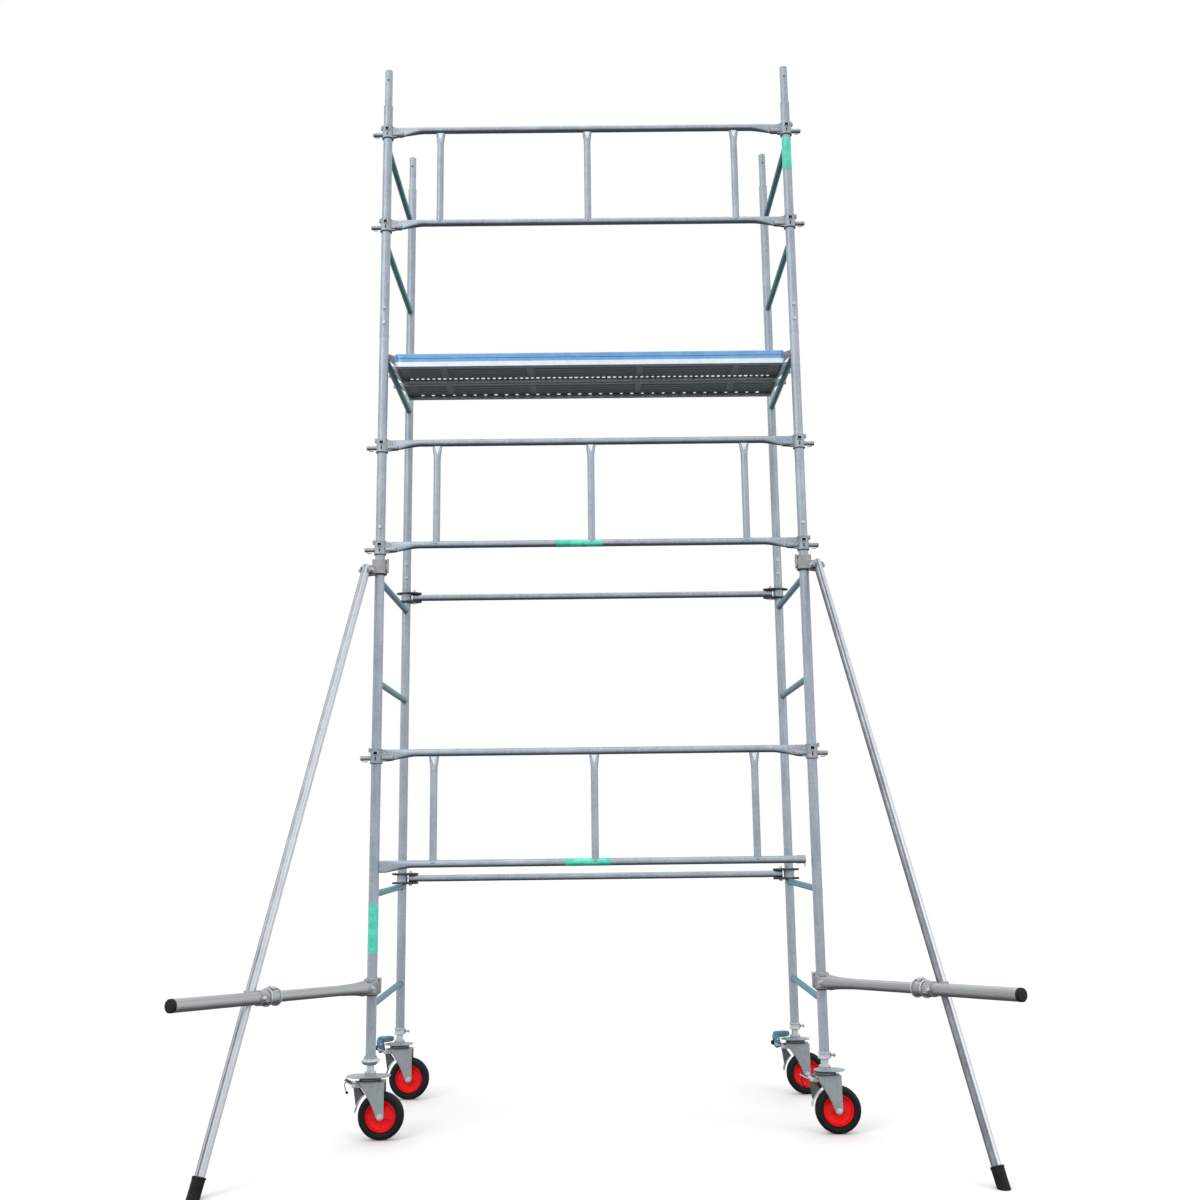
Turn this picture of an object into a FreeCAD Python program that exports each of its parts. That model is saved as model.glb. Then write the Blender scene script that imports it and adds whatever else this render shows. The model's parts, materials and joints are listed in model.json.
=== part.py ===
import FreeCAD, Part
import math
import os

# Mobile tower scaffold, millimetres, +Z up.
# X runs along the working platform, Y runs from the open front to the back.
# The model is drawn about the centre of its four uprights, then moved so that
# the origin is the middle of the whole footprint, on the floor.

# Overall sizes
bay_length = 2000.0            # between the centre lines of the two end frames
frame_width = 850.0            # between the front and back uprights of an end frame
lower_frame_length = 2257.0    # upright tube of the lower end frame
middle_frame_length = 1097.0
top_frame_length = 1223.0

# Frame tubes
upright_diameter = 45.0
upright_wall = 2.5
rung_diameter = 30.0
rung_wall = 2.0
lower_first_rung = 220.0       # first rung above the foot of the lower frame
lower_last_rung = 117.0        # last rung below the head of the lower frame
lower_rung_spaces = 4
skipped_rung = 2               # the middle rung place of the lower frame is left open
platform_rung_drop = 97.0      # platform rung below the head of the middle frame
top_rungs_drop = (222.0, 742.0)   # rungs of the top frame below its head

# Spigots that join one frame to the next
spigot_clearance = 1.0         # radial, in the upright
spigot_relief = 0.25           # radial, slimmer where the next frame slides on
spigot_wall = 3.0
spigot_rise = 195.0
spigot_seat = 75.0
pin_diameter = 10.0
pin_clearance = 0.25
pin_head = 6.0
pin_rises = (63.0, 138.0)      # pins above each frame joint

# Front guardrails
rail_diameter = 33.7
rail_wall = 2.5
rail_spacing = 500.0
top_rail_drop = 133.0          # upper rail of the top guardrail below the frame head
middle_rail_rise = 53.0        # lower rail of the middle guardrail above its frame foot
lower_rail_rise = 832.0        # lower rail of the lower guardrail above its frame foot
post_offset = 735.0            # outer posts from the middle post
post_mouth_width = 42.0        # a post's upper end, pressed into a flat mouth under its rail
post_mouth_depth = 21.0
post_flare = 75.0
blade_height = 58.0            # top edge level with the top of the tube
blade_thickness = 10.0
blade_length = 40.0
blade_taper = 80.0
blade_slit = 2.0
foot_rail_gap = 0.6            # left end of the lowest rail to its upright
foot_rail_short = 26.0         # right end of the lowest rail to its upright
foot_rail_tab = 14.0           # tab that hangs from that end
tab_thickness = 5.0

# Pressed pockets that hold the rail ends, and their locking pins
pocket_height = 66.0
pocket_wall = 5.0
pocket_gap = 0.6               # play round the blade
collar_fit = 0.2               # radial, bands and pockets on the uprights
cheek_length = 34.0
cheek_thickness = 4.0
lock_pin_diameter = 22.0
lock_pin_clearance = 0.5
lock_pin_drop = 22.0           # pin below the rail's centre
lock_pin_stub = 46.0           # free length outside the pocket
lock_pin_reach = 20.0          # length in the notch of the rail end
notch_margin = 4.0             # notch deeper than the pin's reach

# Back ledgers
ledger_diameter = 33.7
ledger_wall = 2.5
ledger_above_rung = (39.0, 72.0)   # over the second and the last rung of the lower frame
clamp_height = 42.0
clamp_wall = 6.0
clamp_ear = 26.0
ear_gap = 4.0
clamp_bolt_diameter = 10.0

# Platform planks
plank_end_gap = 53.0           # plank end to the centre of its rung
plank_width = 240.0
plank_depth = 70.0
plank_sheet = 2.0
plank_lip = 18.0
plank_gap = 5.0
plank_front_inset = 10.0       # front face behind the front upright centres
deck_above_rung = 11.0         # deck surface over the rung centre
stiffener_count = 3
stiffener_width = 40.0
hook_thickness = 10.0
hook_wall = 9.0
hook_play = 0.5
hook_offset = 80.0             # each hook from the middle of its plank

# Castors
wheel_diameter = 200.0
tyre_width = 50.0
tyre_shoulder = 12.0
hub_diameter = 134.0
hub_width = 40.0
hub_boss_diameter = 44.0
axle_diameter = 12.0
axle_clearance = 0.05
castor_trail = 50.0
crown_gap = 41.0               # tyre top to the underside of the fork crown
crown_thickness = 5.0
race_height = 16.0
race_diameter = 96.0
plate_thickness = 8.0
plate_length = 176.0
plate_width = 112.0
plate_shift = 12.0             # plate centre behind the stem
housing_height = 10.0
housing_diameter = 52.0
cheek_gap = 6.0                # tyre side to fork cheek
fork_thickness = 4.0
fork_front = 54.0              # cheek edge in front of the stem
fork_back = 16.0               # cheek edge behind the axle, also the round end's radius
axle_head_diameter = 22.0
axle_head_length = 8.0
king_diameter = 16.0
king_clearance = 0.05
king_nut_diameter = 30.0
king_nut_height = 10.0
play = 0.5
neck_height = 34.0
neck_diameter = 34.0
collar_height = 29.0
collar_wall = 3.0
nut_width = 80.0
stem_clearance = 1.0           # radial, in the upright
stem_hold = 240.0              # stem inside the upright
leg_flange = 5.0
collar_bolt_diameter = 10.0
collar_bolt_length = 30.0
wing_span = 34.0
pedal_pin_diameter = 8.0
pedal_front = 12.0             # pedal pivot in front of the cheek edge
pedal_below = 9.0              # pedal pivot under the crown
pedal_width = 44.0
pedal_thickness = 4.0
pedal_reach = 44.0
pedal_lift = 22.0
shoe_gap = 18.0                # released brake strip to the tyre
shoe_angles = (138.0, 174.0)   # round the axle, from the trailing direction

# Stabilisers on the two front uprights
stabiliser_angle = 63.0        # swung forward from the outward direction
brace_clamp_rise = 64.0        # brace clamp over the last rung of the lower frame
arm_clamp_rise = 82.0          # arm clamp over the first rung
sleeve_height = 72.0
sleeve_wall = 10.0
sleeve_clearance = 0.4
tube_offset = 31.0             # brace and arm each side of the upright's centre plane
lug_thickness = 8.0
lug_play = 0.4                 # lug to tube side
lug_reach = 44.0
lug_inset = 22.0               # bolt from the tube's end
lug_bolt_diameter = 12.0
brace_diameter = 40.0
brace_wall = 3.0
brace_start = 58.0
foot_distance = 1013.0
foot_diameter = 50.0
foot_length = 70.0
arm_inner_diameter = 44.0
arm_outer_wall = 2.65
arm_clearance = 0.35
arm_wall = 3.0
arm_start = 58.0
arm_end = 1230.0
arm_overlap = 200.0
arm_rise = 3.3                 # degrees above level
arm_collar_length = 60.0
arm_collar_wall = 7.0
arm_collar_flange = 4.0
coupler_width = 40.0
coupler_wall = 5.0
coupler_clearance = 0.4
coupler_space = 6.0            # arm collar to coupler
arm_cap_length = 24.0

V = FreeCAD.Vector
X = V(1, 0, 0)
Y = V(0, 1, 0)
Z = V(0, 0, 1)

half_bay = bay_length / 2
half_width = frame_width / 2
upright_radius = upright_diameter / 2
upright_bore = upright_diameter - 2 * upright_wall
spigot_diameter = upright_bore - 2 * spigot_clearance
free_spigot_diameter = spigot_diameter - 2 * spigot_relief
stem_diameter = upright_bore - 2 * stem_clearance
plank_length = bay_length - 2 * plank_end_gap
arm_outer_diameter = arm_inner_diameter + 2 * (arm_clearance + arm_outer_wall)
wheel_radius = wheel_diameter / 2
crown_bottom = wheel_diameter + crown_gap
crown_top = crown_bottom + crown_thickness
plate_bottom = crown_top + race_height
plate_top = plate_bottom + plate_thickness
race_top = plate_top + housing_height
collar_bottom = race_top + neck_height
base_height = collar_bottom + collar_height
middle_base = base_height + lower_frame_length
top_base = middle_base + middle_frame_length
tower_head = top_base + top_frame_length

rung_pitch = (lower_frame_length - lower_first_rung - lower_last_rung) / lower_rung_spaces
lower_rungs = [base_height + lower_first_rung + i * rung_pitch
               for i in range(lower_rung_spaces + 1) if i != skipped_rung]
platform_rung = top_base - platform_rung_drop
top_rungs = [tower_head - drop for drop in top_rungs_drop]
ledger_heights = [lower_rungs[1] + ledger_above_rung[0], lower_rungs[-1] + ledger_above_rung[1]]
guardrail_feet = {
    "lower": base_height + lower_rail_rise,
    "middle": middle_base + middle_rail_rise,
    "top": tower_head - top_rail_drop - rail_spacing,
}
pedal_pivot = (-fork_front - pedal_front, crown_bottom - pedal_below)
brace_clamp_height = lower_rungs[-1] + brace_clamp_rise
arm_clamp_height = lower_rungs[0] + arm_clamp_rise
blade_drop = (blade_height - rail_diameter) / 2
blade_end = half_bay - upright_radius - pocket_wall - pocket_gap
rail_heights = [foot + i * rail_spacing for foot in guardrail_feet.values() for i in range(2)]
pocket_rails = [height for height in rail_heights if height > guardrail_feet["lower"]]
deck_top = platform_rung + deck_above_rung
plank_centres = [-half_width + plank_front_inset + plank_width / 2 + i * (plank_width + plank_gap)
                 for i in range(2)]
corners = {
    "front_left": (-half_bay, -half_width),
    "front_right": (half_bay, -half_width),
    "rear_left": (-half_bay, half_width),
    "rear_right": (half_bay, half_width),
}
sides = {"left": -1, "right": 1}
nodes = {}


def rod(start, direction, length, diameter):
    return Part.makeCylinder(diameter / 2, length, start, direction)


def tube(start, direction, length, diameter, bore):
    """A straight tube with open ends."""
    overrun = direction.normalize() * 1.0
    return rod(start, direction, length, diameter).cut(
        rod(start - overrun, direction, length + 2.0, bore))


def block(centre, size):
    """A box from its centre and its three sizes."""
    return Part.makeBox(size[0], size[1], size[2],
                        V(centre[0] - size[0] / 2, centre[1] - size[1] / 2, centre[2] - size[2] / 2))


def prism(points, thickness, base_y):
    """An outline in the XZ plane, given thickness along +Y."""
    wire = Part.makePolygon([V(x, base_y, z) for x, z in points + points[:1]])
    return Part.Face(wire).extrude(V(0, thickness, 0))


def placed(shape, angle, x, y):
    """A copy turned about Z and moved in plan."""
    copy = shape.copy()
    copy.rotate(V(0, 0, 0), Z, angle)
    copy.translate(V(x, y, 0))
    return copy


def upright_at(x, y, foot, length):
    return tube(V(x, y, foot), V(Z), length, upright_diameter, upright_bore)


def pin_places(y, joint_height):
    """Heights of the joint pins; a front pocket may take the place of the lower one."""
    pocket_middle = guardrail_feet["middle"] - blade_drop
    reach = pocket_height / 2 + pin_diameter
    free = []
    for rise in pin_rises:
        height = joint_height + rise
        if y > 0 or abs(height - pocket_middle) > reach:
            free.append(height)
    return free


def make_uprights():
    levels = (("lower", base_height, lower_frame_length), ("middle", middle_base, middle_frame_length),
              ("top", top_base, top_frame_length))
    for side, sign in sides.items():
        for level, foot, length in levels:
            pair = []
            for y in (-half_width, half_width):
                post = upright_at(sign * half_bay, y, foot, length)
                if level != "lower":
                    for height in pin_places(y, foot):
                        post = post.cut(joint_pin_hole(sign * half_bay, y, height))
                if y < 0:
                    for hole in lock_pin_holes(sign, foot, length):
                        post = post.cut(hole)
                pair.append(post)
            nodes[f"{side}_{level}_uprights"] = pair


def joint_pin_hole(x, y, height):
    span = upright_diameter + 20.0
    return rod(V(x, y - span / 2, height), V(Y), span, pin_diameter + 2 * pin_clearance)


def lock_pin_holes(sign, foot, length):
    """Holes for the rail locking pins that fall on this tube."""
    span = upright_diameter + 20.0
    return [rod(V(sign * half_bay - span / 2, -half_width, z), V(X), span,
                lock_pin_diameter + 2 * lock_pin_clearance)
            for z in [rail - lock_pin_drop for rail in pocket_rails] if foot < z < foot + length]


def rung(x, height):
    """A rung between two uprights, its ends shaped to their round sides."""
    bar = tube(V(x, -half_width, height), V(Y), frame_width, rung_diameter, rung_diameter - 2 * rung_wall)
    for y in (-half_width, half_width):
        bar = bar.cut(rod(V(x, y, height - rung_diameter), V(Z), 2 * rung_diameter, upright_diameter))
    return bar


def make_rungs():
    for name, heights in (("lower_rungs", lower_rungs), ("platform_rungs", [platform_rung]),
                          ("top_rungs", top_rungs)):
        nodes[name] = [rung(sign * half_bay, z) for sign in sides.values() for z in heights]


def spigot_at(x, y, joint):
    """A seated part, then a slightly slimmer part that takes the next frame."""
    bore = spigot_diameter - 2 * spigot_wall
    seat = tube(V(x, y, joint - spigot_seat), V(Z), spigot_seat, spigot_diameter, bore)
    free = tube(V(x, y, joint), V(Z), spigot_rise, free_spigot_diameter, bore)
    return seat.fuse(free)


def make_spigots():
    spigots, pins = [], []
    for x, y in corners.values():
        for joint in (middle_base, top_base, tower_head):
            spigot = spigot_at(x, y, joint)
            heights = pin_places(y, joint) if joint != tower_head else [joint + pin_rises[1]]
            for height in heights:
                spigot = spigot.cut(joint_pin_hole(x, y, height))
                if joint != tower_head:
                    pins.append(joint_pin(x, y, height))
            if y < 0:
                foot = joint - spigot_seat
                for hole in lock_pin_holes(math.copysign(1, x), foot, spigot_seat + spigot_rise):
                    spigot = spigot.cut(hole)
            spigots.append(spigot)
    nodes["joint_spigots"] = spigots
    nodes["joint_pins"] = pins


def joint_pin(x, y, height):
    length = upright_diameter + 2 * pin_head + 2.0
    pin = rod(V(x, y - length / 2, height), V(Y), length, pin_diameter)
    for end in (-1, 1):
        start = y + end * (upright_radius + 1.0) - (pin_head if end < 0 else 0.0)
        pin = pin.fuse(rod(V(x, start, height), V(Y), pin_head, pin_diameter + 7.0))
    return pin.removeSplitter()


def rail_end(sign, height, end):
    """A tube end pressed flat into an upright blade, its top level with the tube."""
    flat_start = end - blade_length
    taper_start = flat_start - blade_taper
    y = -half_width
    middle = height - blade_drop
    circle = Part.Wire(Part.Circle(V(sign * taper_start, y, height), V(X), rail_diameter / 2).toShape())
    oval = Part.Ellipse(V(sign * flat_start, y, middle + blade_height / 2),
                        V(sign * flat_start, y + blade_thickness / 2, middle),
                        V(sign * flat_start, y, middle)).toShape()
    flat = Part.Wire(oval)
    taper = Part.makeLoft([circle, flat], True)
    blade = Part.Face(flat).extrude(V(sign * blade_length, 0, 0))
    return taper_start, taper.fuse(blade)


def guardrail_tube(height):
    """A rail with a notched blade at each end; the lowest rail has one plain blade and one cut end."""
    bore = rail_diameter - 2 * rail_wall
    y = -half_width
    if height in pocket_rails:
        left_start, left = rail_end(-1, height, blade_end)
        right_start, right = rail_end(1, height, blade_end)
    else:
        left_start, left = rail_end(-1, height, half_bay - upright_radius - foot_rail_gap)
        right_start = half_bay - upright_radius - foot_rail_short
        right = block((right_start - tab_thickness / 2, y, height - rail_diameter / 2 - foot_rail_tab / 2),
                      (tab_thickness, rail_diameter / 2, foot_rail_tab + rail_wall))
    length = left_start + right_start
    body = rod(V(-left_start, y, height), V(X), length, rail_diameter).fuse([left, right])
    body = body.cut(rod(V(-left_start, y, height), V(X), length, bore))
    body = body.cut(block((0, y, height), (bay_length, blade_slit, bore - 4.0)))
    if height in pocket_rails:
        depth = lock_pin_reach + notch_margin
        for sign in (-1, 1):
            start = V(sign * (blade_end - depth), y, height - lock_pin_drop)
            body = body.cut(rod(start, V(sign, 0, 0), 2 * depth, lock_pin_diameter + 2 * lock_pin_clearance))
    return body


def guardrail_post(x, foot):
    """A post whose upper end is pressed into a flat mouth under the upper rail."""
    y = -half_width
    flare_start = foot + rail_spacing - rail_diameter / 2 - post_flare
    head = foot + rail_spacing
    shells = []
    for wall in (0.0, rail_wall):
        radius = rail_diameter / 2 - wall
        half_mouth = post_mouth_width / 2 - wall
        circle = Part.Wire(Part.Circle(V(x, y, flare_start), V(Z), radius).toShape())
        mouth = Part.Wire(Part.Ellipse(V(x + half_mouth, y, head),
                                       V(x, y + post_mouth_depth / 2 - wall, head), V(x, y, head)).toShape())
        flare = Part.makeLoft([circle, mouth], True)
        shells.append(rod(V(x, y, foot), V(Z), flare_start - foot, 2 * radius).fuse(flare))
    return shells[0].cut(shells[1])


def make_guardrails():
    posts = []
    for name, foot in guardrail_feet.items():
        heights = (foot, foot + rail_spacing)
        nodes[f"{name}_guardrail"] = [guardrail_tube(z) for z in heights]
        for x in (-post_offset, 0.0, post_offset):
            post = guardrail_post(x, foot)
            for z in heights:
                post = post.cut(rod(V(x - rail_diameter, -half_width, z), V(X), 2 * rail_diameter,
                                    rail_diameter))
            posts.append(post)
    nodes["guardrail_posts"] = posts


def rail_pocket(sign, height):
    """A collar on the upright with two cheeks that hold the flat rail end."""
    x = sign * half_bay
    y = -half_width
    centre = height - blade_drop
    bore = upright_diameter + 2 * collar_fit
    collar = rod(V(x, y, centre - pocket_height / 2), V(Z), pocket_height,
                 upright_diameter + 2 * pocket_wall)
    reach = upright_radius + pocket_wall + cheek_length
    span = reach - upright_radius
    middle = x - sign * (upright_radius + span / 2)
    for cheek in (-1, 1):
        offset = blade_thickness / 2 + pocket_gap + cheek_thickness / 2
        collar = collar.fuse(block((middle, y + cheek * offset, centre),
                                   (span, cheek_thickness, pocket_height)))
    collar = collar.cut(rod(V(x, y, centre - pocket_height), V(Z), 2 * pocket_height, bore))
    collar = collar.cut(rod(V(x - 100.0, y, height - lock_pin_drop), V(X), 200.0,
                            lock_pin_diameter + 2 * lock_pin_clearance))
    return collar


def lock_pin(sign, height):
    """A pin through pocket and upright into the notch of the rail end."""
    outside = half_bay + upright_radius + pocket_wall + lock_pin_stub
    length = outside - blade_end + lock_pin_reach
    start = V(sign * outside, -half_width, height - lock_pin_drop)
    return rod(start, V(-sign, 0, 0), length, lock_pin_diameter)


def make_pockets():
    nodes["rail_pockets"] = [rail_pocket(sign, z) for sign in sides.values() for z in pocket_rails]
    for side, sign in sides.items():
        nodes[f"{side}_lock_pins"] = [lock_pin(sign, z) for z in pocket_rails]


def ledger_clamp(x, height):
    """A bolted band round a back upright."""
    sign = 1 if x > 0 else -1
    outer = upright_diameter + 2 * clamp_wall
    band = rod(V(x, half_width, height - clamp_height / 2), V(Z), clamp_height, outer)
    ear_length = outer / 2 + clamp_ear
    band = band.fuse(block((x, half_width + ear_length / 2, height),
                           (2 * clamp_wall + ear_gap, ear_length, clamp_height)))
    band = band.fuse(rod(V(x - sign * (outer / 2 - 8.0), half_width, height), V(-sign, 0, 0), 14.0,
                         ledger_diameter + 8.0))
    band = band.cut(rod(V(x, half_width, height - clamp_height), V(Z), 2 * clamp_height,
                        upright_diameter + 2 * collar_fit))
    band = band.cut(block((x, half_width + ear_length, height),
                          (ear_gap, 2 * ear_length - upright_diameter, 2 * clamp_height)))
    bolt_y = half_width + outer / 2 + clamp_ear / 2
    hole = rod(V(x - 50.0, bolt_y, height), V(X), 100.0, clamp_bolt_diameter + 0.6)
    grip = clamp_wall + ear_gap / 2
    bolt = rod(V(x - grip - 14.0, bolt_y, height), V(X), 2 * grip + 22.0, clamp_bolt_diameter)
    for edge in (-grip - 7.0, grip):
        bolt = bolt.fuse(rod(V(x + edge, bolt_y, height), V(X), 7.0, clamp_bolt_diameter + 8.0))
    return band.cut(hole), bolt.removeSplitter()


def make_ledgers():
    ledgers, clamps, bolts = [], [], []
    end = half_bay - upright_radius - clamp_wall - 6.0
    for height in ledger_heights:
        ledgers.append(tube(V(-end, half_width, height), V(X), 2 * end, ledger_diameter,
                            ledger_diameter - 2 * ledger_wall))
        for x in (-half_bay, half_bay):
            band, bolt = ledger_clamp(x, height)
            clamps.append(band)
            bolts.append(bolt)
    nodes["rear_ledgers"] = ledgers
    nodes["ledger_clamps"] = clamps
    nodes["ledger_clamp_bolts"] = bolts


def plank(centre_y):
    """A folded sheet plank, open below, with end plates and cross stiffeners."""
    middle = deck_top - plank_depth / 2
    shell = block((0, centre_y, middle), (plank_length, plank_width, plank_depth))
    inner = block((0, centre_y, middle), (plank_length - 2 * plank_sheet, plank_width - 2 * plank_sheet,
                                          plank_depth - 2 * plank_sheet))
    mouth = block((0, centre_y, deck_top - plank_depth),
                  (plank_length - 2 * plank_sheet, plank_width - 2 * plank_lip, 4 * plank_sheet))
    shell = shell.cut(inner).cut(mouth)
    for i in range(stiffener_count):
        x = plank_length * ((i + 1) / (stiffener_count + 1) - 0.5)
        depth = plank_depth / 2
        rib = block((x, centre_y, deck_top - depth / 2), (stiffener_width, plank_width, depth))
        rib = rib.cut(block((x, centre_y, deck_top - depth / 2 - plank_sheet),
                            (stiffener_width - 2 * plank_sheet, plank_width, depth)))
        shell = shell.fuse(rib)
    return shell.removeSplitter()


def plank_hook(sign, y):
    """A flat hook over the platform rung, from the plank's end plate."""
    inner = rung_diameter / 2 + hook_play
    outer = inner + hook_wall
    x = sign * half_bay
    ring = Part.makeCylinder(outer, hook_thickness, V(x, y - hook_thickness / 2, platform_rung), V(Y))
    ring = ring.cut(block((x, y, platform_rung - outer - inner * 0.3),
                          (4 * outer, 2 * hook_thickness, 2 * outer)))
    end = plank_length / 2
    top = platform_rung + outer
    bottom = deck_top - plank_depth * 0.75
    near = half_bay - inner - 0.5
    points = [(sign * end, bottom), (sign * end, deck_top), (sign * near, top - 1.0),
              (sign * half_bay, top - 1.0), (sign * half_bay, platform_rung),
              (sign * near, platform_rung - inner * 0.3)]
    plate = prism(points, hook_thickness, y - hook_thickness / 2)
    hook = ring.fuse(plate)
    return hook.cut(rod(V(x, y - hook_thickness, platform_rung), V(Y), 2 * hook_thickness, 2 * inner))


def make_platform():
    for name, centre_y in zip(("front_plank", "rear_plank"), plank_centres):
        nodes[name] = [plank(centre_y)]
    nodes["plank_hooks"] = [plank_hook(sign, centre + offset) for sign in sides.values()
                            for centre in plank_centres for offset in (-hook_offset, hook_offset)]


def fork_outline():
    """Cheek outline: an upright back edge, a round end at the axle and a slanting front edge."""
    right = castor_trail + fork_back
    outline = [(-fork_front, crown_bottom + 1.0), (right, crown_bottom + 1.0)]
    reach = math.hypot(castor_trail + fork_front, crown_bottom - wheel_radius)
    slant = math.atan2(crown_bottom - wheel_radius, -fork_front - castor_trail)
    tangent = math.degrees(slant) + math.degrees(math.acos(fork_back / reach))
    steps = 12
    for i in range(steps + 1):
        angle = math.radians((tangent - 360.0) * i / steps)
        outline.append((castor_trail + fork_back * math.cos(angle),
                        wheel_radius + fork_back * math.sin(angle)))
    return outline


def oval(length, width, thickness, base, shift):
    """A flat plate with round ends, long in X."""
    half = (length - width) / 2
    plate = block((shift, 0, base + thickness / 2), (2 * half, width, thickness))
    return plate.fuse([rod(V(shift + end * half, 0, base), V(Z), thickness, width) for end in (-1, 1)])


def headed_pin(x, z, reach, diameter):
    """A pin along Y with a head at each end."""
    pin = rod(V(x, -reach, z), V(Y), 2 * reach, diameter)
    head = diameter * axle_head_diameter / axle_diameter
    for base_y in (-reach, reach - axle_head_length + 0.2):
        pin = pin.fuse(rod(V(x, base_y, z), V(Y), axle_head_length - 0.2, head))
    return pin.removeSplitter()


def castor_fork():
    """Swivel plate, ball race, crown and cheeks in one, with the axle bolt and the pedal pin."""
    side = tyre_width / 2 + cheek_gap
    right = castor_trail + fork_back
    body = oval(plate_length, plate_width, plate_thickness, plate_bottom, plate_shift)
    body = body.fuse(rod(V(0, 0, crown_top), V(Z), race_height, race_diameter))
    body = body.fuse(rod(V(0, 0, plate_top), V(Z), housing_height - play, housing_diameter))
    body = body.fuse(block(((right - fork_front) / 2, 0, crown_bottom + crown_thickness / 2),
                           (right + fork_front, 2 * (side + fork_thickness), crown_thickness)))
    px, pz = pedal_pivot
    for base_y in (side, -side - fork_thickness):
        ear = prism([(-fork_front - 1.0, crown_bottom + crown_thickness), (px - 9.0, pz + 9.0),
                     (px - 9.0, pz - 9.0), (-fork_front + 14.0, pz - 9.0),
                     (-fork_front + 14.0, crown_bottom + crown_thickness)], fork_thickness, base_y)
        body = body.fuse([prism(fork_outline(), fork_thickness, base_y), ear])
    body = body.cut(rod(V(0, 0, crown_bottom - 5.0), V(Z), race_top - crown_bottom + 10.0,
                        king_diameter + 2 * king_clearance))
    reach = side + fork_thickness + axle_head_length
    pins = []
    for x, z, diameter in ((castor_trail, wheel_radius, axle_diameter), (px, pz, pedal_pin_diameter)):
        body = body.cut(rod(V(x, -reach, z), V(Y), 2 * reach, diameter + 0.1))
        pins.append(headed_pin(x, z, reach, diameter))
    return [body.removeSplitter()] + pins


def castor_leg():
    """Stem, slimmer neck and flange, and the king pin that carries the swivel head."""
    leg = rod(V(0, 0, race_top), V(Z), neck_height, neck_diameter)
    leg = leg.fuse(rod(V(0, 0, collar_bottom), V(Z), collar_height + stem_hold, stem_diameter))
    leg = leg.fuse(rod(V(0, 0, race_top), V(Z), leg_flange, housing_diameter))
    nut_top = crown_bottom - play
    nut_base = nut_top - king_nut_height
    leg = leg.fuse(rod(V(0, 0, nut_base), V(Z), race_top - nut_base, king_diameter))
    leg = leg.fuse(rod(V(0, 0, nut_base), V(Z), king_nut_height, king_nut_diameter))
    return leg.removeSplitter()


def castor_tyre():
    """Ring with rounded shoulders."""
    outer, inner, half = wheel_radius, hub_diameter / 2, tyre_width / 2
    z = wheel_radius
    x = castor_trail
    shoulder = tyre_shoulder
    lines = [
        Part.makeLine(V(x, -half, z + inner), V(x, -half, z + outer - shoulder)),
        Part.Arc(V(x, -half, z + outer - shoulder),
                 V(x, -half + shoulder * (1 - math.sqrt(0.5)), z + outer - shoulder * (1 - math.sqrt(0.5))),
                 V(x, -half + shoulder, z + outer)).toShape(),
        Part.makeLine(V(x, -half + shoulder, z + outer), V(x, half - shoulder, z + outer)),
        Part.Arc(V(x, half - shoulder, z + outer),
                 V(x, half - shoulder * (1 - math.sqrt(0.5)), z + outer - shoulder * (1 - math.sqrt(0.5))),
                 V(x, half, z + outer - shoulder)).toShape(),
        Part.makeLine(V(x, half, z + outer - shoulder), V(x, half, z + inner)),
        Part.makeLine(V(x, half, z + inner), V(x, -half, z + inner)),
    ]
    return Part.Face(Part.Wire(lines)).revolve(V(x, 0, z), V(Y), 360)


def castor_hub():
    x, z = castor_trail, wheel_radius
    disc = rod(V(x, -hub_width / 2, z), V(Y), hub_width, hub_diameter)
    dish = hub_width / 4
    for base_y in (-hub_width / 2 - 1.0, hub_width / 2 - dish):
        disc = disc.cut(tube(V(x, base_y, z), V(Y), dish + 1.0, hub_diameter - 16.0, hub_boss_diameter))
    boss = tyre_width + 2 * cheek_gap - 4.0
    disc = disc.fuse(rod(V(x, -boss / 2, z), V(Y), boss, hub_boss_diameter * 0.7))
    return disc.cut(rod(V(x, -boss, z), V(Y), 2 * boss, axle_diameter + 2 * axle_clearance))


def bent_strip(points, width):
    """A strip of pedal thickness that follows three points of an arc in the XZ plane."""
    middle = points[1]
    chord = V(points[2][0] - points[0][0], 0, points[2][1] - points[0][1]).normalize()
    normal = V(-chord.z, 0, chord.x) * pedal_thickness
    top = [V(x, -width / 2, z) for x, z in (points[0], middle, points[2])]
    low = [p + normal for p in top]
    edges = [Part.Arc(*top).toShape(), Part.makeLine(top[2], low[2]),
             Part.Arc(*reversed(low)).toShape(), Part.makeLine(low[0], top[0])]
    return Part.Face(Part.Wire(edges)).extrude(V(0, width, 0))


def shoe_point(angle):
    radius = wheel_radius + shoe_gap
    turn = math.radians(angle)
    return castor_trail + radius * math.cos(turn), wheel_radius + radius * math.sin(turn)


def castor_pedal():
    """Tread and brake strip in one, on a barrel between the fork cheeks."""
    px, pz = pedal_pivot
    barrel = pedal_pin_diameter + 8.0
    width = min(pedal_width, tyre_width + 2 * cheek_gap - 4.0)
    body = rod(V(px, -width / 2, pz), V(Y), width, barrel)
    tread = [(px, pz), (px - pedal_reach / 2, pz + pedal_lift * 0.3), (px - pedal_reach, pz + pedal_lift)]
    first, last = shoe_angles
    shoe = [shoe_point(first), shoe_point((first + last) / 2), shoe_point(last)]
    near = shoe_point(first + 5.0)
    link = [(px, pz), ((px + near[0]) / 2 + 3.0, (pz + near[1]) / 2 + 3.0), near]
    body = body.fuse([bent_strip(tread, width), bent_strip(link, width * 0.6),
                      bent_strip(shoe, width * 0.8)])
    return body.cut(rod(V(px, -width, pz), V(Y), 2 * width, pedal_pin_diameter + 2 * axle_clearance))


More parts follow.
